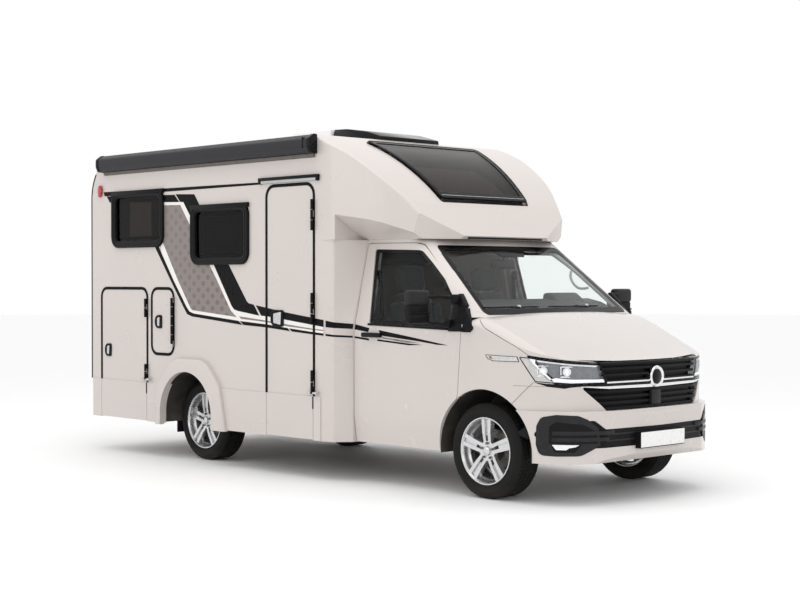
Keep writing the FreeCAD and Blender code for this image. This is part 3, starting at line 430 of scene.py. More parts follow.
def lathe(profile, centre, axis="y", steps=48, start=0.0):
    """Solid of revolution: profile points (radius, height along the axis), closed."""
    centre = Vector(centre)
    spin_axis = along(axis, 1)
    radial = {"x": Vector((0, 0, 1)), "y": Vector((0, 0, 1)), "z": Vector((1, 0, 0))}[axis]
    radial.rotate(Matrix.Rotation(start, 3, spin_axis))
    deselect()
    bpy.ops.mesh.primitive_circle_add(vertices=len(profile), fill_type="NOTHING")
    obj = bpy.context.object
    for vertex, (radius, height) in zip(obj.data.vertices, profile):
        vertex.co = centre + radial * radius + spin_axis * height
    with Editing(obj):
        bpy.ops.mesh.spin(steps=steps, angle=2 * math.pi, center=centre, axis=spin_axis)
        bpy.ops.mesh.select_all(action="SELECT")
        bpy.ops.mesh.remove_doubles(threshold=0.00005)
        bpy.ops.mesh.dissolve_degenerate(threshold=0.00001)
        bpy.ops.mesh.select_all(action="SELECT")
        bpy.ops.mesh.normals_make_consistent(inside=False)
    return obj


def pipe(points, radius, closed=False, sides=3, curved=True):
    """Round bar along points."""
    curve = bpy.data.curves.new("pipe", "CURVE")
    curve.dimensions = "3D"
    spline = curve.splines.new("NURBS" if curved else "POLY")
    spline.points.add(len(points) - 1)
    for spot, point in zip(spline.points, points):
        spot.co = (*point, 1)
    spline.use_cyclic_u = closed
    if curved:
        spline.order_u = 3
        spline.use_endpoint_u = not closed
        spline.resolution_u = 6
    curve.bevel_depth = radius
    curve.bevel_resolution = sides
    curve.use_fill_caps = True
    obj = bpy.data.objects.new("pipe", curve)
    bpy.context.scene.collection.objects.link(obj)
    activate(obj)
    bpy.ops.object.convert(target="MESH")
    return bpy.context.object


# ---------------------------------------------------------------- sizes and colours to change
def colour(label, description, default):
    return bpy.props.FloatVectorProperty(
        name=label, description=description, subtype="COLOR", size=3, min=0.0, max=1.0,
        default=default)


def length(label, description, default):
    return bpy.props.FloatProperty(
        name=label, description=description, subtype="DISTANCE", unit="LENGTH", min=0.0,
        default=default)


class CamperPaint(bpy.types.PropertyGroup):
    body: colour("Body paint", "Colour of the living box and the cab", (0.585, 0.535, 0.507))
    roof: colour("Roof paint", "Colour of the roof and its hatches", (0.74, 0.73, 0.72))
    stripe: colour("Stripe", "Colour of the dark bands along the sides", (0.008, 0.008, 0.009))
    panel: colour("Panel", "Ground colour of the dotted side panel", (0.215, 0.182, 0.17))
    border: colour("Border", "Colour of the light lines beside the bands", (0.80, 0.77, 0.74))
    trim: colour("Trim", "Colour of the black plastic trim", (0.008, 0.008, 0.009))


class CamperTrim(bpy.types.PropertyGroup):
    seal: length("Seal width", "Width of the rubber seal round a door or flap", 0.026)
    frame_rise: length("Window frame", "How far a window frame stands off the wall", 0.022)
    film: length("Film thickness", "Thickness of the stripes' film", 0.0008)


class CamperWheels(bpy.types.PropertyGroup):
    blocks: bpy.props.IntProperty(
        name="Tread blocks", description="Blocks round one rib of a tyre", default=72, min=24)
    depth: length("Tread depth", "Depth of the grooves between the blocks", 0.006)


class CamperStage(bpy.types.PropertyGroup):
    eye: bpy.props.FloatVectorProperty(
        name="Camera place", description="Where the camera stands", subtype="XYZ",
        unit="LENGTH", size=3, default=(9.676, -9.056, 1.579))
    turn: bpy.props.FloatProperty(
        name="Camera turn", description="Heading of the camera", subtype="ANGLE",
        unit="ROTATION", default=math.radians(46.384))
    pitch: bpy.props.FloatProperty(
        name="Camera pitch", description="Tilt of the camera below the horizon",
        subtype="ANGLE", unit="ROTATION", default=math.radians(0.721))
    lens: bpy.props.FloatProperty(
        name="Lens", description="Focal length on a 36 mm sensor", unit="CAMERA", default=69.43)
    sky: bpy.props.FloatProperty(
        name="Room light", description="Strength of the even light of the room", default=1.0)
    key: bpy.props.FloatProperty(
        name="Soft box", description="Power of the overhead soft box", unit="POWER",
        default=140.0)


SETTINGS = {"camper_paint": CamperPaint, "camper_trim": CamperTrim,
            "camper_wheels": CamperWheels, "camper_stage": CamperStage}


# ---------------------------------------------------------------- materials
def preset(node, **values):
    """Sets a node's inputs by name, with _ for a space."""
    for label, value in values.items():
        node.inputs[label.replace("_", " ")].default_value = value
    return node


def group_nodes(name, inputs, outputs):
    """New shader node group with named sockets, and its input and output nodes."""
    tree = bpy.data.node_groups.new(name, "ShaderNodeTree")
    for label, value in inputs:
        tree.interface.new_socket(label, in_out="INPUT", socket_type="NodeSocketFloat")
        tree.interface.items_tree[label].default_value = value
    for label in outputs:
        tree.interface.new_socket(label, in_out="OUTPUT", socket_type="NodeSocketFloat")
    return tree, tree.nodes.new("NodeGroupInput"), tree.nodes.new("NodeGroupOutput")


def fine_grain():
    """Even small-scale variation on Object coordinates."""
    tree, given, result = group_nodes("Fine grain", (("Scale", 50.0), ("Detail", 4.0)),
                                      ("Value", "Height"))
    place = tree.nodes.new("ShaderNodeTexCoord")
    noise = tree.nodes.new("ShaderNodeTexNoise")
    spread = preset(tree.nodes.new("ShaderNodeMapRange"), From_Min=0.32, From_Max=0.68)
    link = tree.links.new
    link(place.outputs["Object"], noise.inputs["Vector"])
    link(given.outputs["Scale"], noise.inputs["Scale"])
    link(given.outputs["Detail"], noise.inputs["Detail"])
    link(noise.outputs["Fac"], spread.inputs["Value"])
    link(spread.outputs["Result"], result.inputs["Value"])
    link(noise.outputs["Fac"], result.inputs["Height"])


def road_dust():
    """Mask that is strongest at the ground and breaks up with height."""
    tree, given, result = group_nodes("Road dust", (("Top", 0.9), ("Amount", 0.2)), ("Mask",))
    place = tree.nodes.new("ShaderNodeTexCoord")
    split = tree.nodes.new("ShaderNodeSeparateXYZ")
    fall = preset(tree.nodes.new("ShaderNodeMapRange"), To_Min=1.0, To_Max=0.0)
    noise = preset(tree.nodes.new("ShaderNodeTexNoise"), Scale=7.0, Detail=8.0)
    blend, scale = (tree.nodes.new("ShaderNodeMath") for _ in range(2))
    blend.operation = scale.operation = "MULTIPLY"
    link = tree.links.new
    link(place.outputs["Object"], split.inputs["Vector"])
    link(place.outputs["Object"], noise.inputs["Vector"])
    link(split.outputs["Z"], fall.inputs["Value"])
    link(given.outputs["Top"], fall.inputs["From Max"])
    link(fall.outputs["Result"], blend.inputs[0])
    link(noise.outputs["Fac"], blend.inputs[1])
    link(blend.outputs["Value"], scale.inputs[0])
    link(given.outputs["Amount"], scale.inputs[1])
    link(scale.outputs["Value"], result.inputs["Mask"])


class Finish:
    """A Principled material whose colour, roughness and normal vary over the surface."""

    def __init__(self, name, base, rough, **fixed):
        self.material = bpy.data.materials.new(name)
        self.material.use_nodes = True
        self.tree = self.material.node_tree
        self.shader = self.tree.nodes["Principled BSDF"]
        self.base, self.rough = (*base[:3], 1.0), rough
        preset(self.shader, Base_Color=self.base, Roughness=rough, **fixed)
        self.colour_from = None

    def add(self, kind, **values):
        node = self.tree.nodes.new("ShaderNode" + kind)
        for label, value in values.items():
            setattr(node, label, value)
        return node

    def link(self, a, b):
        self.tree.links.new(a, b)

    def group(self, name, **values):
        return preset(self.add("Group", node_tree=bpy.data.node_groups[name]), **values)

    def blended(self, factor, first, second):
        """Colour mix; first and second are colours or sockets."""
        mix = self.add("Mix", data_type="RGBA")
        self.link(factor, mix.inputs[0])
        for socket, value in ((mix.inputs[6], first), (mix.inputs[7], second)):
            if isinstance(value, bpy.types.NodeSocket):
                self.link(value, socket)
            else:
                socket.default_value = (*value[:3], 1.0)
        return mix.outputs[2]

    def mottle(self, scale, amount, rough_amount=0.08, detail=4.0):
        """Slow variation of colour and roughness."""
        grain = self.group("Fine grain", Scale=scale, Detail=detail)
        dark = [c * (1 - amount) for c in self.base[:3]]
        light = [min(1.0, c * (1 + amount)) for c in self.base[:3]]
        self.colour_from = self.blended(grain.outputs["Value"], dark, light)
        self.link(self.colour_from, self.shader.inputs["Base Color"])
        spread = preset(self.add("MapRange"), To_Min=max(0.0, self.rough - rough_amount),
                        To_Max=min(1.0, self.rough + rough_amount))
        self.link(grain.outputs["Value"], spread.inputs["Value"])
        self.link(spread.outputs["Result"], self.shader.inputs["Roughness"])
        return self

    def bump(self, scale, strength, distance=0.001, detail=3.0, height=None):
        """Fine relief."""
        node = preset(self.add("Bump"), Strength=strength, Distance=distance)
        if height is None:
            height = self.group("Fine grain", Scale=scale, Detail=detail).outputs["Height"]
        self.link(height, node.inputs["Height"])
        self.link(node.outputs["Normal"], self.shader.inputs["Normal"])
        return self

    def dust(self, top, amount, tint=(0.30, 0.26, 0.22)):
        """Road dust on the lower part."""
        mask = self.group("Road dust", Top=top, Amount=amount).outputs["Mask"]
        under = self.colour_from or self.base
        self.link(self.blended(mask, under, tint), self.shader.inputs["Base Color"])
        return self


def finish_rows(paint):
    """Name, colour, roughness, variation, relief, dust and fixed sockets of each opaque finish.

    Variation is (scale, share of the colour, share of the roughness), relief is (scale, strength,
    depth) and dust is (height, amount).
    """
    return (
        ("box paint", paint.body, 0.30, (1.6, 0.012, 0.03), (240, 0.035), (0.75, 0.06),
         {"Coat_Weight": 0.35, "Coat_Roughness": 0.12}),
        ("cab paint", paint.body, 0.26, (2.2, 0.012, 0.03), (700, 0.02), (0.65, 0.06),
         {"Coat_Weight": 0.6, "Coat_Roughness": 0.06}),
        ("roof paint", paint.roof, 0.38, (3.0, 0.02), (300, 0.04), None, {"Coat_Weight": 0.2}),
        ("trim black", paint.trim, 0.42, (30, 0.25, 0.06), (900, 0.16), None,
         {"Specular_IOR_Level": 0.10}),
        ("satin black", (0.022, 0.021, 0.023), 0.38, (40, 0.15, 0.05), (900, 0.08), None,
         {"Specular_IOR_Level": 0.15}),
        ("gloss black", (0.005, 0.005, 0.006), 0.12, (14, 0.2, 0.03), (500, 0.01), None,
         {"Specular_IOR_Level": 0.15}),
        ("rubber seal", (0.010, 0.010, 0.010), 0.62, (60, 0.3, 0.08), (1400, 0.25), None,
         {"Specular_IOR_Level": 0.05}),
        ("underbody black", (0.016, 0.015, 0.014), 0.72, (9, 0.4, 0.1), (60, 0.5, 0.004),
         (0.9, 0.5), {"Specular_IOR_Level": 0.15}),
        ("stripe film", paint.stripe, 0.30, (40, 0.2, 0.04), (600, 0.03), None,
         {"Specular_IOR_Level": 0.05}),
        ("border film", paint.border, 0.32, (12, 0.02, 0.04), (600, 0.03), None, {}),
        ("awning grey", (0.019, 0.019, 0.023), 0.42, (26, 0.1, 0.06), (1600, 0.10), None,
         {"Specular_IOR_Level": 0.25}),
        ("bright metal", (0.83, 0.83, 0.84), 0.10, (35, 0.04, 0.05), (300, 0.02), None,
         {"Metallic": 1.0}),
        ("satin metal", (0.60, 0.60, 0.61), 0.30, (60, 0.08, 0.08), (900, 0.08), None,
         {"Metallic": 1.0}),
        ("wheel silver", (0.62, 0.62, 0.63), 0.27, (12, 0.04, 0.05), (300, 0.01), None,
         {"Metallic": 0.85, "Coat_Weight": 0.6, "Coat_Roughness": 0.08}),
        ("brake iron", (0.20, 0.185, 0.17), 0.45, (50, 0.4, 0.15), (400, 0.2), None,
         {"Metallic": 0.8}),
        ("frame steel", (0.028, 0.027, 0.026), 0.55, (11, 0.4, 0.12), (120, 0.3, 0.002),
         (0.8, 0.45), {"Metallic": 0.3, "Specular_IOR_Level": 0.25}),
        ("cast block", (0.24, 0.235, 0.225), 0.58, (16, 0.25, 0.1), (220, 0.5, 0.002), None,
         {"Metallic": 0.6}),
        ("tyre rubber", (0.010, 0.0095, 0.009), 0.75, (24, 0.25, 0.08), (700, 0.3), (0.12, 0.12),
         {"Specular_IOR_Level": 0.18}),
        ("floor board", (0.20, 0.15, 0.11), 0.5, (18, 0.3, 0.1), (200, 0.2), None, {}),
        ("dash grey", (0.040, 0.045, 0.046), 0.55, (50, 0.2, 0.06), (800, 0.35), None,
         {"Specular_IOR_Level": 0.3}),
        ("pillar grey", (0.42, 0.44, 0.43), 0.65, (40, 0.06, 0.05), (900, 0.2), None, {}),
        ("plate white", (0.82, 0.82, 0.80), 0.30, (30, 0.03, 0.04), (500, 0.03), None,
         {"Coat_Weight": 0.4}),
        ("reflector", (0.86, 0.86, 0.87), 0.08, (20, 0.05, 0.03), (90, 0.10, 0.002), None,
         {"Metallic": 1.0}),
        # mid grey for the dark seam lines, and the painted shadow of the awning on the rail below
        # it
        ("seam and awning shade", (0.16, 0.145, 0.135), 0.8, (30, 0.1), None, None,
         {"Specular_IOR_Level": 0.1}),
        ("lens red", (0.42, 0.03, 0.028), 0.25, (60, 0.1, 0.05), (260, 0.2), None,
         {"Coat_Weight": 0.5}),
        ("lamp grey", (0.55, 0.55, 0.54), 0.25, (30, 0.05, 0.05), (400, 0.05), None,
         {"Metallic": 0.4}),
        ("lamp dark", (0.27, 0.275, 0.29), 0.35, (30, 0.1, 0.05), (300, 0.1), None,
         {"Metallic": 0.3}),
        ("lamp white", (0.90, 0.91, 0.93), 0.25, (30, 0.02, 0.05), (400, 0.05), None,
         {"Emission_Strength": 0.35, "Emission_Color": (0.95, 0.97, 1.0, 1.0)}),
        ("blind panel", (0.42, 0.41, 0.40), 0.75, (30, 0.06), (900, 0.2), None, {}),
        # black of the boards behind the windows: painted shade for the box's dark inside
        ("painted shade black", (0.012, 0.012, 0.013), 0.8, (30, 0.3), (500, 0.3), None,
         {"Specular_IOR_Level": 0.1}))


# name, tint, roughness, strength of the ripple
GLASSES = (("side glass", (0.88, 0.93, 0.91), 0.0, 0.01),
           ("screen glass", (0.97, 0.985, 0.98), 0.0, 0.01),
           ("lamp glass", (0.93, 0.95, 0.96), 0.02, 0.02),
           ("smoked acrylic", (0.24, 0.21, 0.20), 0.0, 0.012),
           ("lamp red", (0.55, 0.012, 0.012), 0.06, 0.05),
           ("lamp amber", (0.80, 0.22, 0.01), 0.06, 0.05))
GLASS_IOR = 1.18              # low, so that thin panes show what is behind them


def make_materials(paint):
    """Every finish of the van, by a maker's plain name."""
    fine_grain()
    road_dust()
    for name, tint, rough, variation, relief, dust, fixed in finish_rows(paint):
        finish = Finish(name, tint, rough, **fixed).mottle(*variation)
        if relief:
            finish.bump(*relief)
        if dust:
            finish.dust(*dust)
    for name, tint, rough, ripple in GLASSES:
        Finish(name, tint, rough, Transmission_Weight=1.0, IOR=GLASS_IOR).bump(35, ripple)
    for name, tint in (("seat dark", (0.022, 0.023, 0.026)), ("seat light", (0.19, 0.19, 0.195))):
        fabric = Finish(name, tint, 0.85, Sheen_Weight=0.35, Sheen_Roughness=0.4).mottle(
            60, 0.12, 0.06)
        place = fabric.add("TexCoord")
        weave = preset(fabric.add("TexWave", wave_type="BANDS", bands_direction="DIAGONAL"),
                       Scale=160.0, Distortion=1.5)
        fabric.link(place.outputs["Object"], weave.inputs["Vector"])
        fabric.bump(0, 0.35, 0.0015, height=weave.outputs["Fac"])
    dotted_film(paint)


def dotted_film(paint):
    """Taupe film with staggered round dots that fade out towards the lower rear."""
    film = Finish("dotted film", paint.panel, 0.34)
    place = film.add("TexCoord")
    split = film.add("SeparateXYZ")
    flat = film.add("CombineXYZ")
    turn = film.add("Mapping")
    turn.inputs["Rotation"].default_value[2] = math.radians(45)
    turn.inputs["Scale"].default_value = (10.6, 13.2, 1.0)
    cells = preset(film.add("TexVoronoi", voronoi_dimensions="2D", feature="F1"), Scale=1.0,
                   Randomness=0.0)
    edge = preset(film.add("MapRange"), From_Min=0.27, From_Max=0.30, To_Min=1.0, To_Max=0.0)
    fade = preset(film.add("MapRange"), From_Min=-1.75, From_Max=-1.05, To_Min=0.45, To_Max=1.0)
    both = film.add("Math", operation="MULTIPLY")
    film.link(place.outputs["Object"], split.inputs["Vector"])
    film.link(split.outputs["X"], flat.inputs["X"])
    film.link(split.outputs["Z"], flat.inputs["Y"])
    film.link(flat.outputs["Vector"], turn.inputs["Vector"])
    film.link(turn.outputs["Vector"], cells.inputs["Vector"])
    film.link(cells.outputs["Distance"], edge.inputs["Value"])
    film.link(split.outputs["X"], fade.inputs["Value"])
    film.link(edge.outputs["Result"], both.inputs[0])
    film.link(fade.outputs["Result"], both.inputs[1])
    ground = film.base[:3]
    film.link(film.blended(both.outputs["Value"], ground, [c * 0.66 for c in ground]),
              film.shader.inputs["Base Color"])
    film.bump(600, 0.04)


# Which finish each solid takes
NODE_FINISH = {
    "box paint": ("side_wall_right", "side_wall_left", "rear_wall", "nose_cap", "skirts", "columns",
                  "entry_door", "garage_door", "locker_door", "cassette_flap", "rear_bumper"),
    "cab paint": ("cab_shell", "cab_door_right", "cab_door_left", "front_wings", "bonnet",
                  "front_bumper"),
    "roof paint": ("roof", "rooflights"),
    "trim black": ("grille", "mirror_right", "mirror_left", "steering_wheel"),
    "awning grey": ("awning",),
    "smoked acrylic": ("box_windows",),
    "side glass": ("cab_glass_right", "cab_glass_left"),
    "screen glass": ("windscreen",),
    "lamp glass": ("headlamps",),
    "lamp red": ("rear_lamps",),
    "dash grey": ("dashboard",),
    "seat dark": ("seats",),
    "floor board": ("living_floor",),
    "frame steel": ("chassis", "rear_axle", "knuckle_right", "knuckle_left"),
    "cast block": ("engine",),
    "underbody black": ("tanks",),
    "tyre rubber": ("tyre_fr", "tyre_fl", "tyre_rr", "tyre_rl"),
    "wheel silver": ("rim_fr", "rim_fl", "rim_rr", "rim_rl"),
}


SOLID_WELD = 0.00002          # corners of a solid closer than this are one
SOLID_CREASE = math.radians(24)           # an edge of a solid that turns more than this stays sharp


class CAMPER_OT_finishes(bpy.types.Operator):
    """Make every finish and give each solid its own"""

    bl_idname = "camper.finishes"
    bl_label = "Finishes"

    def execute(self, context):
        make_materials(context.scene.camper_paint)
        for finish, names in NODE_FINISH.items():
            for name in names:
                node = NODES[name]
                node.data.materials.clear()
                node.data.materials.append(bpy.data.materials[finish])
                node.data.polygons.foreach_set("use_smooth", [True] * len(node.data.polygons))
                weld = node.modifiers.new("Weld", "WELD")
                weld.merge_threshold = SOLID_WELD
                split = node.modifiers.new("Edge Split", "EDGE_SPLIT")
                split.split_angle = SOLID_CREASE
        return {"FINISHED"}


# ---------------------------------------------------------------- side stripes
# Outlines (X, Z) of the films on the living box
TOP_LINE = [(-2.691, 2.405), (-0.345, 2.389), (-0.345, 2.371), (-2.672, 2.366)]
UPPER_A = [(-2.638, 2.363), (-1.558, 2.336), (-1.485, 2.269), (-2.586, 2.304)]
UPPER_B = [(-1.541, 2.340), (-1.263, 2.329), (-0.785, 1.728), (-0.527, 1.406), (-0.500, 1.390),
           (-0.433, 1.379), (-0.362, 1.290), (-0.650, 1.324), (-0.700, 1.336), (-0.736, 1.368),
           (-0.994, 1.730), (-1.424, 2.267), (-1.471, 2.269)]
UPPER_C = [(-0.405, 1.374), (-0.264, 1.356), (-0.038, 1.324), (0.326, 1.282), (0.451, 1.268),
           (0.451, 1.213), (0.326, 1.226), (-0.038, 1.264), (-0.264, 1.286), (-0.331, 1.288)]
LOWER_A = [(-1.866, 1.891), (-1.806, 1.891), (-1.575, 1.584), (-1.375, 1.344), (-1.335, 1.309),
           (-1.272, 1.293), (-0.640, 1.241), (-0.585, 1.207), (-1.300, 1.267), (-1.370, 1.286),
           (-1.422, 1.344), (-1.620, 1.584)]
LOWER_B = [(-0.622, 1.240), (-0.264, 1.219), (0.005, 1.195), (0.040, 1.170), (-0.264, 1.194),
           (-0.570, 1.207)]
LOWER_C = [(0.028, 1.193), (0.326, 1.170), (0.451, 1.162), (0.451, 1.144), (0.326, 1.151),
           (0.062, 1.168)]
THIN = [(-0.631, 1.279), (-0.264, 1.250), (-0.007, 1.225), (0.326, 1.196), (0.451, 1.190),
        (0.451, 1.182), (0.326, 1.187), (0.011, 1.208), (-0.264, 1.238), (-0.605, 1.258)]
PANEL = [(-1.760, 2.250), (-1.471, 2.243), (-1.425, 2.185), (-0.940, 1.584), (-0.745, 1.325),
         (-0.666, 1.273), (-1.250, 1.318), (-1.292, 1.322), (-1.319, 1.339), (-1.508, 1.584),
         (-1.760, 1.955)]
BORDER = [(-1.760, 2.290), (-1.424, 2.267), (-0.994, 1.730), (-0.736, 1.368), (-0.700, 1.336),
          (-0.650, 1.324), (-0.362, 1.288), (-0.264, 1.288), (0.326, 1.228), (0.451, 1.214),
          (0.451, 1.160), (0.326, 1.168), (-0.264, 1.216), (-0.640, 1.239), (-1.272, 1.291),
          (-1.335, 1.307), (-1.375, 1.342), (-1.575, 1.582), (-1.760, 1.830)]
# name, outline, finish, and layer (0 lies under 1)
FILMS = (("top_line", TOP_LINE, "stripe film", 1), ("upper_rear", UPPER_A, "stripe film", 1),
         ("upper_slant", UPPER_B, "stripe film", 1), ("upper_front", UPPER_C, "stripe film", 1),
         ("lower_rear", LOWER_A, "stripe film", 1), ("lower_middle", LOWER_B, "stripe film", 1),
         ("lower_front", LOWER_C, "stripe film", 1), ("thin_line", THIN, "dotted film", 1),
         ("dotted_panel", PANEL, "dotted film", 1), ("border", BORDER, "border film", 0))
WINDOW_EDGE = 0.010           # the films end this far outside a window
UNDER_WINDOW = ("upper_slant", "dotted_panel", "border", "upper_rear")
DOOR_X = (-0.256, 0.330)      # the entrance door, and its gap to the wall
SHUT = 0.005
BOX_ENDS = (-3.0, 0.6)        # X beyond the living box's rear and front
# Stripes on the post between box and cab, and on the cab door
POST = (("upper_post", [(0.471, 1.264), (0.560, 1.251), (0.645, 1.238), (0.645, 1.199),
                        (0.560, 1.206), (0.471, 1.212)]),
        ("lower_post", [(0.471, 1.160), (0.645, 1.145), (0.645, 1.130), (0.471, 1.143)]))
CAB = (("upper_cab_rear", [(0.655, 1.236), (0.826, 1.209), (0.812, 1.178), (0.655, 1.196)]),
       ("upper_cab", [(0.932, 1.197), (1.200, 1.164), (1.685, 1.101), (1.572, 1.102),
                      (1.385, 1.121), (0.983, 1.152), (0.950, 1.164)]),
       ("lower_cab_rear", [(0.655, 1.142), (0.818, 1.128), (0.826, 1.112), (0.655, 1.128)]),
       ("lower_cab", [(0.922, 1.125), (1.271, 1.102), (1.415, 1.096), (1.271, 1.089),
                      (0.905, 1.113)]))
CAB_THIN = [(0.967, 1.143), (1.195, 1.127), (1.400, 1.108), (1.225, 1.109), (0.967, 1.134)]


class CAMPER_OT_stripes(bpy.types.Operator):
    """Lay the bands, lines and the dotted panel along both sides"""

    bl_idname = "camper.stripes"
    bl_label = "Side stripes"

    def execute(self, context):
        film = context.scene.camper_trim.film
        openings = merged([prism(box_outline(*window, WINDOW_EDGE), "y", WALL_Y - 0.05,
                                 WALL_Y + 0.05) for window in WINDOWS])
        spans = (("rear", BOX_ENDS[0], DOOR_X[0] - SHUT, "body"), ("door", *DOOR_X, "entry_door"),
                 ("front", DOOR_X[1] + SHUT, BOX_ENDS[1], "body"))
        for name, shape, finish, layer in FILMS:
            inner = WALL_Y - layer * film
            for part, low, high, rides in spans:
                points = clipped(shape, low, high)
                if len(points) > 2:
                    film_part = prism(points, "y", inner, inner - film)
                    if part == "rear" and name in UNDER_WINDOW:
                        modify(film_part, "BOOLEAN", object=openings, operation="DIFFERENCE",
                               solver="EXACT")
                    if part == "rear":
                        piece(twin(film_part), f"stripe_{name}_left", "body", finish)
                    piece(film_part, f"stripe_{name}_{part}_right", rides, finish)
            ahead = clipped(shape, DOOR_X[0] - SHUT, BOX_ENDS[1])
            if len(ahead) > 2:
                piece(prism(ahead, "y", -inner, film - inner), f"stripe_{name}_ahead_left", "body",
                      finish)
        bpy.data.objects.remove(openings)
        for tag, side in SIDES:
            for name, shape in POST:
                piece(wrapped(shape, "y", side * 1.25, "columns", film, 0.0003, 0.012),
                      f"stripe_{name}_{tag}", "body", "stripe film")
        for name, shape, finish in (*((*row, "stripe film") for row in CAB),
                                    ("thin_cab", CAB_THIN, "dotted film")):
            layer = shaped(shape, "y", -1, lambda x, z: cab_side(x, z, 0.0004), film, 0.012)
            pair(layer, f"stripe_{name}", "cab_door_{}", finish)
        return {"FINISHED"}


# ---------------------------------------------------------------- living box and its fittings
# Section of a window frame: how far each step goes in, and up
FRAME_STEPS = ((0.008, 0.004), (0.006, 0.0), (0.012, -0.006), (0.004, 0.0), (0.010, 0.004),
               (0.012, -0.006), (0.0085, -0.0035), (0.001, -0.021))
FRAME_MARGIN = 0.0145         # how far a window frame covers the wall
# The half-drawn blind of the rear windows: X from, X to, Z from, Z to
BLIND = (-2.330, -1.985, 1.935, 2.300)


class CAMPER_OT_box_windows(bpy.types.Operator):
    """Frame the side windows and hang their blinds"""

    bl_idname = "camper.box_windows"
    bl_label = "Box windows"

    def execute(self, context):
        rise = context.scene.camper_trim.frame_rise
        for name, (x0, x1, z0, z1, radius) in zip(("rear", "middle"), WINDOWS):
            low, high, top = x0 - FRAME_MARGIN, x1 + FRAME_MARGIN, z1 + FRAME_MARGIN
            ring = moulding(box_outline(x0, x1, z0, z1, radius, FRAME_MARGIN), "y",
                            WALL_Y - 0.0003, -rise, FRAME_STEPS)
            rail = prism([(low, z1 - 0.026), (high, z1 - 0.026), (high, top), (low, top)], "y",
                         WALL_Y - 0.0003, WALL_Y - rise - 0.005, 0.004)
            lip = block((x0, x1), (WALL_Y - rise - 0.002, WALL_Y - rise - 0.008),
                        (z1 - 0.014, z1 - 0.008), 0.002)
            pair(merged([ring, rail, lip]), f"window_frame_{name}", "body", "trim black",
                 40)
            inner = moulding(box_outline(x0, x1, z0, z1, radius, -0.062), "y", -1.078, -0.006,
                             ((0.004, 0.002), (0.018, 0.0), (0.003, -0.003), (0.001, -0.03)))
            pair(inner, f"window_gasket_{name}", "body", "rubber seal", 40)
            # Black board behind each window: painted shade for the dark inside of the box, seen
            # past the blind
            board = block((x0 + 0.015, x1 - 0.015), (-1.020, -1.010), (z0 + 0.015, z1 - 0.015),
                          0.002)
            pair(board, f"blind_case_{name}", "body", "painted shade black")
        blind = block(BLIND[:2], (-1.050, -1.044), BLIND[2:], 0.002)
        pair(blind, "blind_panel", "body", "blind panel")
        pull = block(BLIND[:2], (-1.056, -1.043), (BLIND[3] - 0.005, BLIND[3] + 0.018), 0.004)
        pair(pull, "blind_pull", "body", "trim black")
        return {"FINISHED"}


# name, body, X from, X to, Z from (None: it runs down to the skirt), Z to, corner radius, side.
# The luggage hatch has no solid, so its panel is made here and stays shut on the body.
HATCHES = (("entry", "entry_door", -0.256, 0.330, None, 2.345, 0.085, -1),
           ("garage", "garage_door", -2.718, -1.985, None, 1.502, 0.075, -1),
           ("locker", "locker_door", -1.902, -1.578, 0.930, 1.502, 0.075, -1),
           ("luggage", "body", -2.718, -1.985, None, 1.502, 0.075, 1),
           ("cassette", "cassette_flap", -0.640, -0.240, 0.760, 1.110, 0.040, 1))
# hatch, middle and half height of a hinge's cover
HINGES = (("entry", 2.103, 0.125), ("entry", 1.360, 0.125), ("entry", 0.775, 0.095),
          ("garage", 1.335, 0.085), ("garage", 0.760, 0.070), ("locker", 1.225, 0.205),
          ("luggage", 1.335, 0.085), ("luggage", 0.760, 0.070), ("cassette", 0.935, 0.150))
# hatch, middle X, middle Z, width, height
HANDLES = (("entry", -0.122, 1.272, 0.165, 0.136), ("garage", -2.612, 0.935, 0.105, 0.120),
           ("locker", -1.800, 1.212, 0.105, 0.120), ("luggage", -2.612, 0.935, 0.105, 0.120),
           ("cassette", -0.540, 0.935, 0.105, 0.120))
SKIRT_LINE = 0.662            # the wall's lower edge, where the skirts begin
HINGE_Y = -1.124              # axis of the hatches' hinges
SEGMENT = 0.042               # half height of one segment of a hinge's cover
OVERLAP = 0.006               # how far a seal lies on its hatch


def hinge_cover(x, z, half):
    """Segmented black cover round a hinge's barrel and leaf, clear of the wall at every angle."""
    axis_x = x + 0.006
    count = max(2, round(half / SEGMENT))
    step, parts = 2 * half / count, []
    for k in range(count):
        low = z - half + k * step
        high = low + step - 0.003
        barrel = lathe([(0, low), (0.0092, low), (0.0112, low + 0.002), (0.0112, high - 0.002),
                        (0.0092, high), (0, high)], (axis_x, HINGE_Y, 0), "z", 14)
        wing = block((axis_x - 0.013, axis_x - 0.002), (-1.128, -1.1018), (low, high), 0.003)
        parts += [barrel, wing]
    return merged(parts)


def grip(x, z, width, height):
    """Recessed handle with a rounded rear side and a straight front side."""
    w, h = width / 2, height / 2
    return moulding([(x - w, z - h, h * 0.85), (x + w, z - h, 0.020), (x + w, z + h, 0.020),
                     (x - w, z + h, h * 0.85)], "y", ON_WALL, -0.009,
                    ((0.003, 0.002), (0.007, 0.0), (0.004, -0.006), (0.001, -0.001)), True)


def paddle(x, z, width, height):
    """Light grey pull that curves across the handle's middle."""
    w, h = width / 2, height / 2 - 0.014
    return prism([(x - w + 0.044, z - h * 0.70, 0.010), (x + w - 0.030, z - h, 0.010),
                  (x + w - 0.022, z + h, 0.010), (x - w + 0.044, z + h * 0.70, 0.010)], "y",
                 WALL_Y - 0.002, WALL_Y - 0.0155, 0.003)


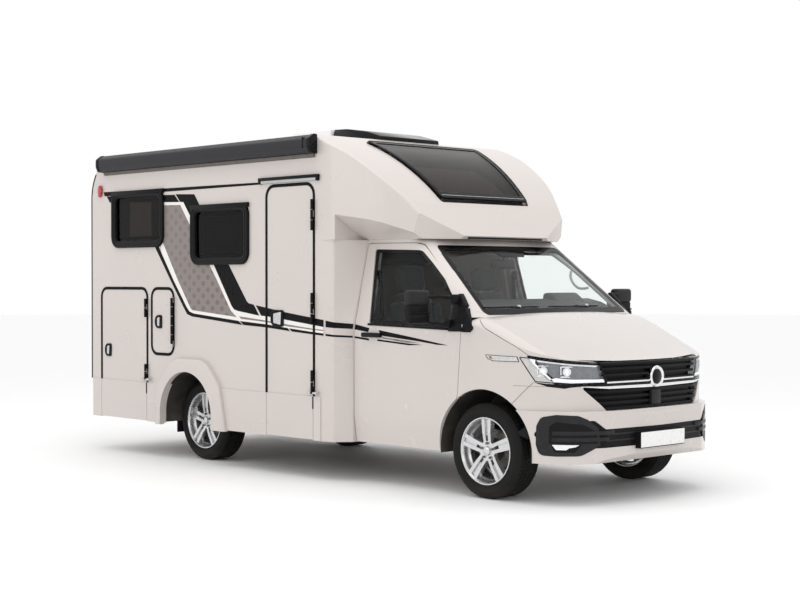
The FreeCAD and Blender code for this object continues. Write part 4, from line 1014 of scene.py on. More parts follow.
class CAMPER_OT_hatches(bpy.types.Operator):
    """Fit the rubber seals, hinge covers, handles and stays of the outer doors and flaps"""

    bl_idname = "camper.hatches"
    bl_label = "Door seals and handles"

    def execute(self, context):
        width = context.scene.camper_trim.seal
        rows = {}
        for name, body, x0, x1, z0, z1, radius, side in HATCHES:
            rows[name] = (body, x1, side)
            grow = width / 2 - OVERLAP
            if z0 is None:
                path = [(x0 - grow, SKIRT_LINE), (x0 - grow, z1 + grow, radius + grow),
                        (x1 + grow, z1 + grow, radius + grow), (x1 + grow, SKIRT_LINE)]
                seal = band(path, width, "y", ON_WALL, WALL_Y - 0.0042, 0.0012)
                if body == "body":
                    panel = prism([(x0, SKIRT_LINE), (x1, SKIRT_LINE), (x1, z1, radius),
                                   (x0, z1, radius)], "y", WALL_Y + 0.031, WALL_Y)
                    piece(sided(panel, side), f"{name}_panel", body, "box paint")
                else:
                    foot = block((x1 - 0.004, x1 + 0.008), (WALL_Y - 0.0082, WALL_Y - 0.0118),
                                 (0.56, SKIRT_LINE - 0.004), 0.001)
                    seal = merged([seal, foot])
            else:
                seal = moulding(box_outline(x0, x1, z0, z1, radius, width - OVERLAP), "y",
                                ON_WALL, -0.003, ((0.002, 0.001), (width - 0.004, 0.0),
                                                          (0.002, -0.0038)))
            piece(sided(seal, side), f"seal_{name}", body, "rubber seal")
        for k, (name, z, half) in enumerate(HINGES):
            body, x1, side = rows[name]
            piece(sided(hinge_cover(x1, z, half), side), f"hinge_cover_{name}_{k}", body,
                  "trim black")
        for name, x, z, w, h in HANDLES:
            body, _, side = rows[name]
            for label, shape, finish in (("grip", grip(x, z, w, h), "gloss black"),
                                         ("paddle", paddle(x, z, w, h), "satin metal")):
                piece(sided(shape, side), f"handle_{label}_{name}", body, finish)
        for name, x, z, body in (("garage", -1.985, 0.690, "garage_door"),
                                 ("entry", 0.330, 0.688, "entry_door")):
            stay = merged([
                block((x - 0.062, x - 0.010), (-1.1305, -1.1125), (z - 0.006, z + 0.006), 0.003),
                lathe([(0, 0), (0.009, 0), (0.009, 0.026), (0.015, 0.030), (0.015, 0.052),
                       (0, 0.056)], (x + 0.026, -1.128, z), "x", 16)])
            piece(stay, f"door_stay_{name}", body, "satin metal")
        return {"FINISHED"}


class CAMPER_OT_box_trim(bpy.types.Operator):
    """Build the awning's case, the entrance lamp rail, the corner strips and the upper markers"""

    bl_idname = "camper.box_trim"
    bl_label = "Box trim"

    def execute(self, context):
        section = [(-1.0998, 2.587), (-1.0998, 2.735, 0.012), (-1.134, 2.738, 0.030),
                   (-1.187, 2.700, 0.030), (-1.187, 2.636, 0.030), (-1.168, 2.591, 0.018)]
        case = prism(section, "x", -2.648, 0.338)
        piece(case, "awning_case", "body", "awning grey")
        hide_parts("awning")
        cap = [(-1.0998, 2.583), (-1.0998, 2.739, 0.012), (-1.136, 2.742, 0.032),
               (-1.191, 2.702, 0.032), (-1.191, 2.634, 0.032), (-1.171, 2.587, 0.02)]
        for name, start, end in (("front", 0.3382, 0.380), ("rear", -2.690, -2.6482)):
            piece(prism(cap, "x", start, end, 0.005), f"awning_cap_{name}", "body", "gloss black")
        foot = block((0.288, 0.304), (-1.1905, -1.160), (2.628, 2.715), 0.003)
        piece(foot, "awning_clip", "body", "gloss black")
        # Rail under the awning's case, coloured mid grey as painted shadow: the shade the awning
        # casts on it
        lead = [(-1.0998, 2.556), (-1.118, 2.560), (-1.124, 2.586), (-1.0998, 2.586)]
        piece(prism(lead, "x", -2.66, 0.35, 0.002), "awning_rail", "body", "seam and awning shade")
        base = merged([block((x0, x1), (ON_WALL, WALL_Y - deep), (z0, z1), edge)
                       for x0, x1, deep, z0, z1, edge in (
                           (-0.348, 0.408, 0.026, 2.398, 2.422, 0.004),
                           (-0.348, -0.318, 0.025, 2.370, 2.420, 0.006),
                           (0.378, 0.408, 0.025, 2.370, 2.420, 0.006))])
        piece(base, "entrance_rail", "body", "trim black")
        lens = block((-0.318, 0.378), (ON_WALL, WALL_Y - 0.021), (2.373, 2.397), 0.005)
        piece(lens, "entrance_lamp", "body", "pillar grey")
        line = [(-2.892, SKIRT_LINE), *oval(-2.504, 2.345, -0.388, 0.388, range(0, 38, 4))]
        pair(band(line, 0.013, "y", ON_WALL, WALL_Y - 0.003), "corner_strip", "body",
             "rubber seal")
        pair(prism(oval(-2.732, 2.415, 0.030, 0.054, range(0, 360, 12)), "y", ON_WALL,
                   WALL_Y - 0.026, 0.008), "upper_marker", "body", "lens red")
        return {"FINISHED"}


# ---------------------------------------------------------------- nose and cab glazing
# Outlines: skylight (X, Y), windscreen (Y, Z) and the cab door's glass (X, Z), each with its radius
SKYLIGHT = [(0.441, -0.643, 0.04), (1.168, -0.500, 0.03), (1.168, 0.500, 0.03),
            (0.441, 0.643, 0.04)]
SCREEN = [(-0.829, 1.329, 0.03), (0.829, 1.329, 0.03), (0.698, 1.849, 0.04), (-0.698, 1.849, 0.04)]
SIDE_GLASS = [(0.814, 1.249, 0.012), (1.793, 1.227, 0.006), (1.793, 1.335, 0.02), (1.5515, 1.586),
              (1.399, 1.7075, 0.3), (1.261, 1.8095, 0.11), (0.746, 1.8235, 0.018)]


WIPER_Z = 1.336               # from here a wiper's heights are counted
# wiper, Y of its pivot, of the blade's start and of its end
WIPERS = (("right", -0.43, -0.79, -0.24), ("left", 0.35, -0.13, 0.50))


def on_screen(out):
    """Rule for a layer on the windscreen."""
    return lambda y, z: cab_front(y, z, out)


def on_side(out):
    """Rule for a layer on the cab's side."""
    return lambda x, z: cab_side(x, z, out)


def wiper_point(y, rise, off):
    """Point over the windscreen's foot, that far off its glass."""
    return (cab_front(y, WIPER_Z + rise, -0.005 + off), y, WIPER_Z + rise)


def leaned(obj):
    """Shears a piece above the belt so that it follows the leaning cab side."""
    for vertex in obj.data.vertices:
        vertex.co.y += LEAN * max(0.0, vertex.co.z - BELT_Z)
    return obj


class CAMPER_OT_nose(bpy.types.Operator):
    """Frame the overcab window, and add the rooflight's glass and a black strip painted as the
    shadow line under the nose's lower edge
    """

    bl_idname = "camper.nose"
    bl_label = "Nose"

    def execute(self, context):
        for name, skip, width, thick, finish in (
                ("outer", 0.0, 0.020, 0.007, "trim black"),
                ("line", 0.021, 0.006, 0.004, "satin metal"),
                ("inner", 0.028, 0.018, 0.006, "gloss black")):
            ring = gridded(ring_leaf(SKYLIGHT, skip, width, "z", 3.2), "z", 0.03)
            onto(ring, "z", 3.2, "box_windows", thick)
            piece(ring, f"skylight_frame_{name}", "body", finish, 50)
        for tag, side in SIDES:
            clamp = block((1.120, 1.168), (side * 0.44 - 0.03, side * 0.44 + 0.03),
                          (2.168, 2.188), 0.006)
            piece(clamp, f"skylight_clamp_{tag}", "body", "trim black")
        lining = prism([(0.60, 2.500), (0.80, 2.405), (1.00, 2.255), (0.992, 2.245), (0.794, 2.393),
                        (0.596, 2.488)], "y", -0.44, 0.44, 0.003)
        piece(lining, "skylight_blind", "body", "blind panel")
        wedge = prism([(-0.322, 2.7448), (0.2985, 2.7448), (0.2985, 2.778, 0.012),
                       (0.10, 2.832, 0.4), (-0.16, 2.870, 0.5), (-0.322, 2.8755)], "y", -0.342,
                      0.342)
        for vertex in wedge.data.vertices:
            vertex.co.y *= 1 - 0.85 * max(0.0, vertex.co.z - 2.752)
        piece(bevel(wedge, 0.004), "rooflight_glass", "body", "gloss black")
        seam = block((-0.8765, -0.3185), (-0.357, 0.357), (2.7448, 2.758), 0.004)
        piece(seam, "rooflight_base", "body", "trim black")
        # Black strip along the nose's lower front edge: painted shadow line under the nose
        lip = prism([(1.385, -0.440), (1.394, -0.430), (1.394, 0.430), (1.385, 0.440)], "z", 1.902,
                    1.921, 0.003)
        piece(lip, "nose_lip", "body", "trim black")
        return {"FINISHED"}


class CAMPER_OT_cab_glazing(bpy.types.Operator):
    """Add the windscreen's black border, the wipers, the window seals and the mirror corners"""

    bl_idname = "camper.cab_glazing"
    bl_label = "Cab glazing"

    def execute(self, context):
        for name, ring, shape in (
                ("border", (0.0, 0.040), SCREEN),
                ("top_band", None, [(-0.690, 1.812), (0.690, 1.812), (0.680, 1.846),
                                    (-0.680, 1.846)]),
                ("patch", None, [(-0.20, 1.815), (-0.13, 1.765, 0.02), (0.13, 1.765, 0.02),
                                 (0.20, 1.815)])):
            layer = shaped(shape, "x", 1, on_screen(-0.0057), 0.0012, 0.03, ring)
            piece(layer, f"screen_{name}", "body", "gloss black", 60)
        shelf = prism([(1.512, 1.272, 0.01), (1.528, 1.400, 0.03), (1.590, 1.437, 0.05),
                       (1.740, 1.405, 0.10), (1.930, 1.324, 0.006), (1.900, 1.300), (1.820, 1.288)],
                      "y", -0.765, 0.765, 0.016, 3)
        piece(shelf, "dash_shelf", "body", "dash grey")
        pillar = shaped([(-0.828, 1.338), (-0.8795, 1.345), (-0.753, 1.864), (-0.6995, 1.866)],
                        "x", 1, on_screen(-0.012), 0.0126, 0.015)
        pair(pillar, "pillar_skin", "body", "cab paint", 60)
        for name, pivot, start, end in WIPERS:
            blade = pipe([wiper_point(start + (end - start) * k / 8, 0.046, 0.004)
                          for k in range(9)], 0.0045)
            arm = pipe([wiper_point(pivot, 0.042, 0.006), wiper_point(pivot - 0.06, 0.044, 0.010),
                        wiper_point((start + end) / 2, 0.049, 0.009)], 0.005)
            cap = lathe([(0, -0.010), (0.014, -0.010), (0.014, 0.006), (0.008, 0.010), (0, 0.010)],
                        wiper_point(pivot, 0.048, 0.004), "x", 20)
            piece(merged([blade, arm]), f"wiper_{name}", "body", "trim black", 60)
            piece(cap, f"wiper_nut_{name}", "body", "satin metal")
        seal = shaped(SIDE_GLASS, "y", -1, on_side(-0.0138), 0.006, 0.03, (0.0, 0.026))
        pair(seal, "side_glass_seal", "cab_door_{}", "gloss black", 60)
        belt = leaned(band([(0.800, 1.240), (1.705, 1.220)], 0.016, "y", CAB_Y - 0.001,
                           CAB_Y - 0.007, 0.002))
        pair(belt, "window_belt", "cab_door_{}", "trim black")
        fixed = prism([(1.834, 1.203, 0.004), (1.914, 1.203, 0.014), (1.946, 1.232, 0.014),
                       (1.834, 1.385, 0.004)], "y", CAB_Y + 0.06, CAB_Y - 0.0155, 0.004)
        for vertex in fixed.data.vertices:
            if vertex.co.z > 1.3:
                vertex.co.y += LEAN * (vertex.co.z - BELT_Z)
        pair(fixed, "mirror_corner", "body", "trim black")
        disc = moulding(oval(0.872, 1.155, 0.060, 0.058, range(0, 360, 10)), "y", CAB_Y - 0.0004,
                        -0.0016, ((0.006, 0.0008), (0.010, -0.0012), (0.012, -0.0006)), True)
        pair(disc, "handle_dish", "cab_door_{}", "cab paint", 60)
        bar = prism([(0.756, 1.139, 0.012), (0.971, 1.139, 0.012), (0.971, 1.175, 0.012),
                     (0.756, 1.175, 0.012)], "y", CAB_Y + 0.002, CAB_Y - 0.0295, 0.006, 3)
        pair(bar, "door_handle", "cab_door_{}", "gloss black")
        return {"FINISHED"}


class CAMPER_OT_mirrors(bpy.types.Operator):
    """Build the two-armed mirrors in place of the plain ones"""

    bl_idname = "camper.mirrors"
    bl_label = "Mirrors"

    def execute(self, context):
        upper = block((1.563, 1.640), (-1.297, -1.088), (1.398, 1.511), 0.026, 5)
        waist = block((1.574, 1.632), (-1.288, -1.098), (1.318, 1.402), 0.012, 3)
        lower = block((1.560, 1.645), (-1.294, -1.092), (1.263, 1.338), 0.022, 5)
        foot = block((1.568, 1.642), (-1.291, -1.095), (1.335, 1.347), 0.005)
        glass = [block((1.5575, 1.566), (-1.276, -1.108), (1.412, 1.498), 0.004),
                 block((1.5545, 1.562), (-1.276, -1.108), (1.281, 1.326), 0.004)]
        arms = [pipe([(1.742, -0.945, 1.452), (1.700, -1.010, 1.462), (1.650, -1.082, 1.462),
                      (1.612, -1.128, 1.452), (1.600, -1.140, 1.425)], 0.0125, sides=4),
                pipe([(1.702, -0.955, 1.262), (1.672, -1.010, 1.258), (1.640, -1.080, 1.262),
                      (1.610, -1.120, 1.290)], 0.0115, sides=4)]
        knobs = [block((1.722, 1.764), (-0.972, -0.905), (1.405, 1.478), 0.014, 4),
                 block((1.676, 1.722), (-0.985, -0.940), (1.232, 1.292), 0.014, 4)]
        plate = leaned(prism([(1.688, 1.204, 0.010), (1.8265, 1.206, 0.004), (1.8265, 1.398, 0.006),
                              (1.750, 1.486, 0.012), (1.708, 1.462, 0.008)], "y", CAB_Y + 0.034,
                             CAB_Y - 0.0115, 0.004))
        for shape, name, finish in (
                (upper, "mirror_upper", "satin black"),
                (merged([waist, lower, foot]), "mirror_lower", "trim black"),
                (merged(glass), "mirror_glass", "reflector"),
                (merged([*arms, *knobs, plate]), "mirror_arms", "trim black")):
            pair(shape, name, "cab_door_{}", finish, 50)
        for tag, _ in SIDES:
            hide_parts(f"mirror_{tag}")
        return {"FINISHED"}


# ---------------------------------------------------------------- front end
# Outlines (X, Z, radius) on the right-hand half of the front
LAMP_EDGE = [(2.362, 1.040, 0.006), (2.436, 1.037), (2.510, 1.028), (2.620, 1.012), (2.700, 1.002),
             (2.808, 0.988, 0.008), (2.816, 0.925), (2.8235, 0.856, 0.008), (2.700, 0.853, 0.03),
             (2.556, 0.862, 0.03), (2.488, 0.868, 0.012), (2.428, 0.952)]
# What lies inside a headlamp: name, how far out, finish, outline
LAMP_LAYERS = (
    ("back", -0.034, "lamp dark", [(2.452, 1.026), (2.620, 1.006), (2.774, 0.986), (2.783, 0.930),
                                   (2.788, 0.866), (2.690, 0.852), (2.604, 0.870)]),
    ("wing", 0.0004, "lamp grey", [(2.376, 1.035), (2.436, 1.031), (2.436, 1.026), (2.583, 0.872),
                                    (2.556, 0.868), (2.494, 0.874), (2.436, 0.955)]),
    ("outer_bar", -0.006, "lamp white", [(2.441, 1.030), (2.486, 1.024), (2.484, 0.998),
                                         (2.592, 0.886), (2.578, 0.884), (2.456, 1.008)]),
    ("low_bar", -0.006, "lamp white", [(2.590, 0.888), (2.602, 0.868), (2.700, 0.860),
                                       (2.815, 0.863), (2.812, 0.884), (2.700, 0.886),
                                       (2.612, 0.896)]),
    ("top_bar", -0.010, "reflector", [(2.490, 1.020), (2.790, 0.981), (2.782, 0.971),
                                      (2.600, 0.996), (2.505, 1.006)]))
UNDER_LAMP = [(2.480, 0.864), (2.556, 0.856), (2.700, 0.848), (2.796, 0.851), (2.780, 0.840),
              (2.736, 0.839), (2.668, 0.823), (2.573, 0.835, 0.01)]
WING_STRIP = [(2.058, 1.047, 0.004), (2.350, 1.041), (2.366, 1.003), (2.134, 1.003, 0.01),
              (2.085, 1.018, 0.01)]
FOG_PANEL = [(2.512, 0.500), (2.514, 0.560, 0.05), (2.545, 0.622, 0.05), (2.640, 0.641, 0.05),
             (2.762, 0.636, 0.03), (2.795, 0.607, 0.02), (2.832, 0.546), (2.838, 0.425),
             (2.815, 0.398), (2.772, 0.354, 0.04), (2.640, 0.350, 0.05), (2.535, 0.356, 0.05),
             (2.510, 0.430, 0.05)]
FOG_RECESS = [(2.598, 0.440), (2.600, 0.560, 0.03), (2.640, 0.592, 0.02), (2.782, 0.574, 0.03),
              (2.826, 0.520, 0.01), (2.830, 0.440)]
FOG_POCKET = [(2.612, 0.436), (2.776, 0.436), (2.748, 0.380, 0.02), (2.630, 0.378, 0.02)]
FOG_LAMP = [(2.618, 0.432), (2.766, 0.432), (2.750, 0.418), (2.716, 0.410), (2.700, 0.396),
            (2.642, 0.396)]


BADGE = (2.858, 0, 0.886)     # middle of the round badge's back


def tapered(obj, y_tip, y_full, z_keep):
    """Thins a bar towards its ends, where its heights shrink to one level."""
    for vertex in obj.data.vertices:
        t = (abs(vertex.co.y) - y_full) / (y_tip - y_full)
        t = min(1.0, max(0.0, t))
        vertex.co.z += (z_keep - vertex.co.z) * t * 0.75
    return obj


class CAMPER_OT_front(bpy.types.Operator):
    """Fit the chrome bars, badge disc, lamp insides, fog lamps, slats and number plate"""

    bl_idname = "camper.front"
    bl_label = "Front end"

    def execute(self, context):
        bright = tapered(strip(GRILLE_PLAN, -0.700, 0.700, 0.812, 0.834, 0.007, 0.020, 0.003),
                         0.70, 0.45, 0.838)
        piece(bright, "chrome_bar", "body", "bright metal")
        thin = strip(GRILLE_PLAN, -0.512, 0.512, 0.854, 0.866, 0.005, 0.012, 0.0015)
        piece(thin, "chrome_line", "body", "bright metal")
        gap = strip(GRILLE_PLAN, -0.60, 0.60, 0.834, 0.854, 0.0005, 0.010)
        piece(gap, "bar_gap", "body", "gloss black")
        sensor = block((2.842, 2.868), (-0.052, 0.052), (0.688, 0.792), 0.004)
        piece(sensor, "sensor_panel", "body", "satin black")
        ring = lathe([(0.0, 0.014), (0.056, 0.014), (0.060, 0.016), (0.065, 0.021), (0.074, 0.021),
                      (0.079, 0.014), (0.079, -0.02), (0.0, -0.02)], BADGE, "x", 48)
        piece(ring, "badge_ring", "body", "bright metal")
        disc = lathe([(0.0, 0.0185), (0.052, 0.0165), (0.0565, 0.0135), (0.0, 0.0135)], BADGE,
                     "x", 48)
        piece(disc, "badge_disc", "body", "gloss black")
        self.lamp()
        self.fog()
        for name, shape, out, thick, finish, slot in (
                ("under_lamp", UNDER_LAMP, 0.0004, 0.0016, "gloss black", "dark_plastic"),
                ("wing_seam", ribbon([(2.300, 0.700), (2.476, 0.862)], 0.0035), 0.0003, 0.0008,
                 "seam and awning shade", "cab_paint"),
                ("wing_strip_edge", WING_STRIP, 0.0004, 0.002, "gloss black", "dark_plastic"),
                ("wing_strip", [(2.068, 1.043), (2.346, 1.0375), (2.360, 1.007),
                                (2.137, 1.007, 0.01), (2.092, 1.021, 0.01)], 0.002, 0.0015,
                 "satin metal", "dark_plastic"),
                ("wing_marker", [(2.098, 1.036), (2.124, 1.0355), (2.130, 1.016), (2.106, 1.022)],
                 0.003, 0.0015, "lamp amber", "lamp_clear")):
            pair(shaped(shape, "y", -1, plan_rule(GRILLE_PLAN, out), thick), name, "body", finish,
                 60)
        plate = block((2.9262, 2.9282), (-0.258, 0.258), (0.390, 0.498), 0.0008)
        piece(plate, "number_plate", "body", "plate white")
        rim = moulding(box_outline(-0.2615, 0.2615, 0.386, 0.5015, 0.006), "x", 2.9260, 0.0012,
                       ((0.0035, 0.0008), (0.001, -0.0008)))
        piece(rim, "plate_rim", "body", "trim black")
        for name, z0, z1 in (("intake_slat", 0.448, 0.460), ("intake_slat_upper", 0.492, 0.504)):
            piece(strip(BUMPER_PLAN, -0.55, 0.55, z0, z1, -0.003, 0.02), name, "body",
                  "satin black")
        for tag, side in SIDES:
            tab = block((2.50, 2.60), (side * 0.60 - 0.05, side * 0.60 + 0.05), (0.272, 0.300),
                        0.006)
            piece(tab, f"under_tab_{tag}", "body", "trim black")
        return {"FINISHED"}

    def lamp(self):
        """Frame, light bars and two modules of each headlamp."""
        frame_ring = shaped(LAMP_EDGE, "y", -1, plan_rule(GRILLE_PLAN, 0.0004), 0.0022, 0.02,
                            (0.0, 0.006))
        pair(frame_ring, "lamp_edge", "body", "gloss black", 60)
        for name, out, finish, shape in LAMP_LAYERS:
            pair(shaped(shape, "y", -1, plan_rule(GRILLE_PLAN, out), 0.0015), f"lamp_{name}",
                 "body", finish, 60)
        for k, (x, y, z) in enumerate(((2.530, -0.858, 0.945), (2.672, -0.772, 0.940))):
            turn = Matrix.Translation((x, y, z)) @ Matrix.Rotation(math.radians(-42), 4, "Z")
            cup = lathe([(0, -0.012), (0.022, -0.010), (0.028, 0.004), (0.030, 0.014),
                         (0.026, 0.014), (0.018, 0.002), (0, -0.002)], (0, 0, 0), "x", 24)
            lens = lathe([(0, 0.014), (0.012, 0.011), (0.017, 0.002), (0.017, 0.0), (0, 0.0)],
                         (0, 0, 0), "x", 24)
            frame_bar = merged([block((0.000, 0.014), (-0.046, 0.040), (0.031, 0.038), 0.002),
                                block((0.000, 0.014), (-0.046, -0.038), (-0.022, 0.034), 0.002),
                                block((0.000, 0.014), (-0.046, 0.020), (-0.040, -0.032), 0.002)])
            for shape, label, finish in ((cup, "cup", "reflector"), (lens, "lens", "lamp white"),
                                         (frame_bar, "frame", "bright metal")):
                shape.data.transform(turn)
                pair(shape, f"lamp_{label}_{k}", "body", finish)

    def fog(self):
        """Dark panel, slats and lamp of each fog-lamp corner."""
        for name, shape, out, thick, finish, slot in (
                ("fog_panel", FOG_PANEL, 0.0004, 0.0022, "satin black", "dark_plastic"),
                ("fog_recess", FOG_RECESS, 0.002, 0.0014, "gloss black", "dark_plastic"),
                ("fog_pocket", FOG_POCKET, 0.002, 0.0012, "gloss black", "dark_plastic"),
                ("fog_lamp", FOG_LAMP, 0.003, 0.0014, "reflector", "lamp_clear")):
            pair(shaped(shape, "y", -1, plan_rule(BUMPER_PLAN, out), thick), name, "body", finish,
                 60)
        for k, (z, y0, y1) in enumerate(((0.512, -0.864, -0.475), (0.467, -0.866, -0.530))):
            bar = strip(BUMPER_PLAN, y0, y1, z - 0.015, z + 0.015, 0.006, 0.03, 0.006)
            pair(bar, f"fog_slat_{k}", "body", "satin black")


# ---------------------------------------------------------------- wheels
TYRE_RADIUS, TYRE_HALF_WIDTH = 0.3452, 0.1222
RIBS = ((0.062, 0.092), (0.026, 0.056), (-0.020, 0.020), (-0.056, -0.026), (-0.092, -0.062))
NUTS, NUT_CIRCLE = 5, 0.056
NUT = ((0, 0.018), (0.006, 0.018), (0.0095, 0.012), (0.0095, 0.0), (0, 0.0))


def pick(obj, test):
    """Selects the faces that pass a test, ready for edit mode."""
    activate(obj)
    for polygon in obj.data.polygons:
        polygon.select = test(polygon)
    for item in (*obj.data.edges, *obj.data.vertices):
        item.select = False


class CAMPER_OT_wheels(bpy.types.Operator):
    """Turn the road tyres with their tread blocks, and add wheel nuts, hub caps and brake discs"""

    bl_idname = "camper.wheels"
    bl_label = "Wheels"

    def execute(self, context):
        wheels = context.scene.camper_wheels
        floor, half = TYRE_RADIUS - wheels.depth, TYRE_HALF_WIDTH
        section = [(0.2458, half - 0.020), (0.2500, half - 0.008), (0.2580, half - 0.004),
                   (0.2620, half - 0.006), (0.2900, half), (0.3060, half - 0.001),
                   (0.3180, half - 0.008), (0.3300, half - 0.018), (0.3400, half - 0.028)]
        grooved = []
        for k, (low, high) in enumerate(RIBS):
            grooved += [(floor, high), (floor, low)]
            if k < len(RIBS) - 1:
                grooved += [(floor - 0.004, low - 0.001), (floor - 0.004, RIBS[k + 1][1] + 0.001)]
        profile = section + grooved + [(r, -y) for r, y in section[::-1]]
        master = lathe(profile, (0, 0, 0), "y", wheels.blocks)

        def on_rib(polygon):
            c = polygon.center
            radius = math.hypot(c.x, c.z)
            return radius > floor - 0.0015 and any(a < c.y < b for a, b in RIBS)

        pick(master, on_rib)
        bpy.ops.object.mode_set(mode="EDIT")
        bpy.ops.mesh.select_mode(type="FACE")
        bpy.ops.mesh.inset(thickness=0.0018, depth=wheels.depth, use_individual=True)
        bpy.ops.object.mode_set(mode="OBJECT")
        for tag, x, y in WHEELS:
            side = -1 if y < 0 else 1
            tyre = twin(master, Matrix.Translation((x, y, WHEEL_Z)))
            piece(tyre, f"road_tyre_{tag}", f"wheel_{tag}", "tyre rubber", 28)
            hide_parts(f"tyre_{tag}")
            face = y + side * (0.1105 - 0.024)
            turns = [90 + 360 / NUTS * k for k in range(NUTS)]
            nuts = [lathe([(r, side * h) for r, h in NUT], (u, face, v), "y", 12)
                    for u, v in oval(x, WHEEL_Z, NUT_CIRCLE, NUT_CIRCLE, turns)]
            piece(merged(nuts), f"wheel_nuts_{tag}", f"wheel_{tag}", "brake iron")
            cap = lathe([(0, side * 0.020), (0.020, side * 0.019), (0.031, side * 0.013),
                         (0.035, side * 0.004), (0.035, 0), (0, 0)], (x, face, WHEEL_Z), "y", 36)
            piece(cap, f"hub_cap_{tag}", f"wheel_{tag}", "wheel silver")
            disc = lathe([(0.088, side * -0.011), (0.152, side * -0.011), (0.154, side * -0.009),
                          (0.154, side * 0.009), (0.152, side * 0.011), (0.088, side * 0.011)],
                         (x, y + side * -0.008, WHEEL_Z), "y", 48)
            piece(disc, f"brake_disc_{tag}", f"wheel_{tag}", "brake iron")
        bpy.data.objects.remove(master)
        return {"FINISHED"}


# ---------------------------------------------------------------- cab inside
SEAT_X, SEAT_Y = 1.060, 0.43  # middle of a seat's cushion
SEAT_RAKE = 9.0               # how far the backs lean, in degrees
SWELL = 0.012                 # how far a cushion's faces swell


def cushion(x, y, z, edge, cuts=2):
    """Soft block: a rounded box that swells a little in the middle of each face."""
    obj = block(x, y, z, edge, 3)
    middle = Vector([(a + b) / 2 for a, b in (x, y, z)])
    size = Vector([(b - a) / 2 for a, b in (x, y, z)])
    with Editing(obj):
        bpy.ops.mesh.subdivide(number_cuts=cuts)
    for vertex in obj.data.vertices:
        part = [(vertex.co[i] - middle[i]) / size[i] for i in range(3)]
        swell = [(1 - part[1] ** 2) * (1 - part[2] ** 2), (1 - part[0] ** 2) * (1 - part[2] ** 2),
                 (1 - part[0] ** 2) * (1 - part[1] ** 2)]
        for i in range(3):
            vertex.co[i] += max(0.0, swell[i]) * part[i] * SWELL
    return modify(obj, "SUBSURF", levels=1)


def raked(obj, x, z, angle):
    """Tilts a piece back about a line across the vehicle."""
    obj.data.transform(Matrix.Translation((x, 0, z)) @ Matrix.Rotation(math.radians(-angle), 4, "Y")
                       @ Matrix.Translation((-x, 0, -z)))
    return obj


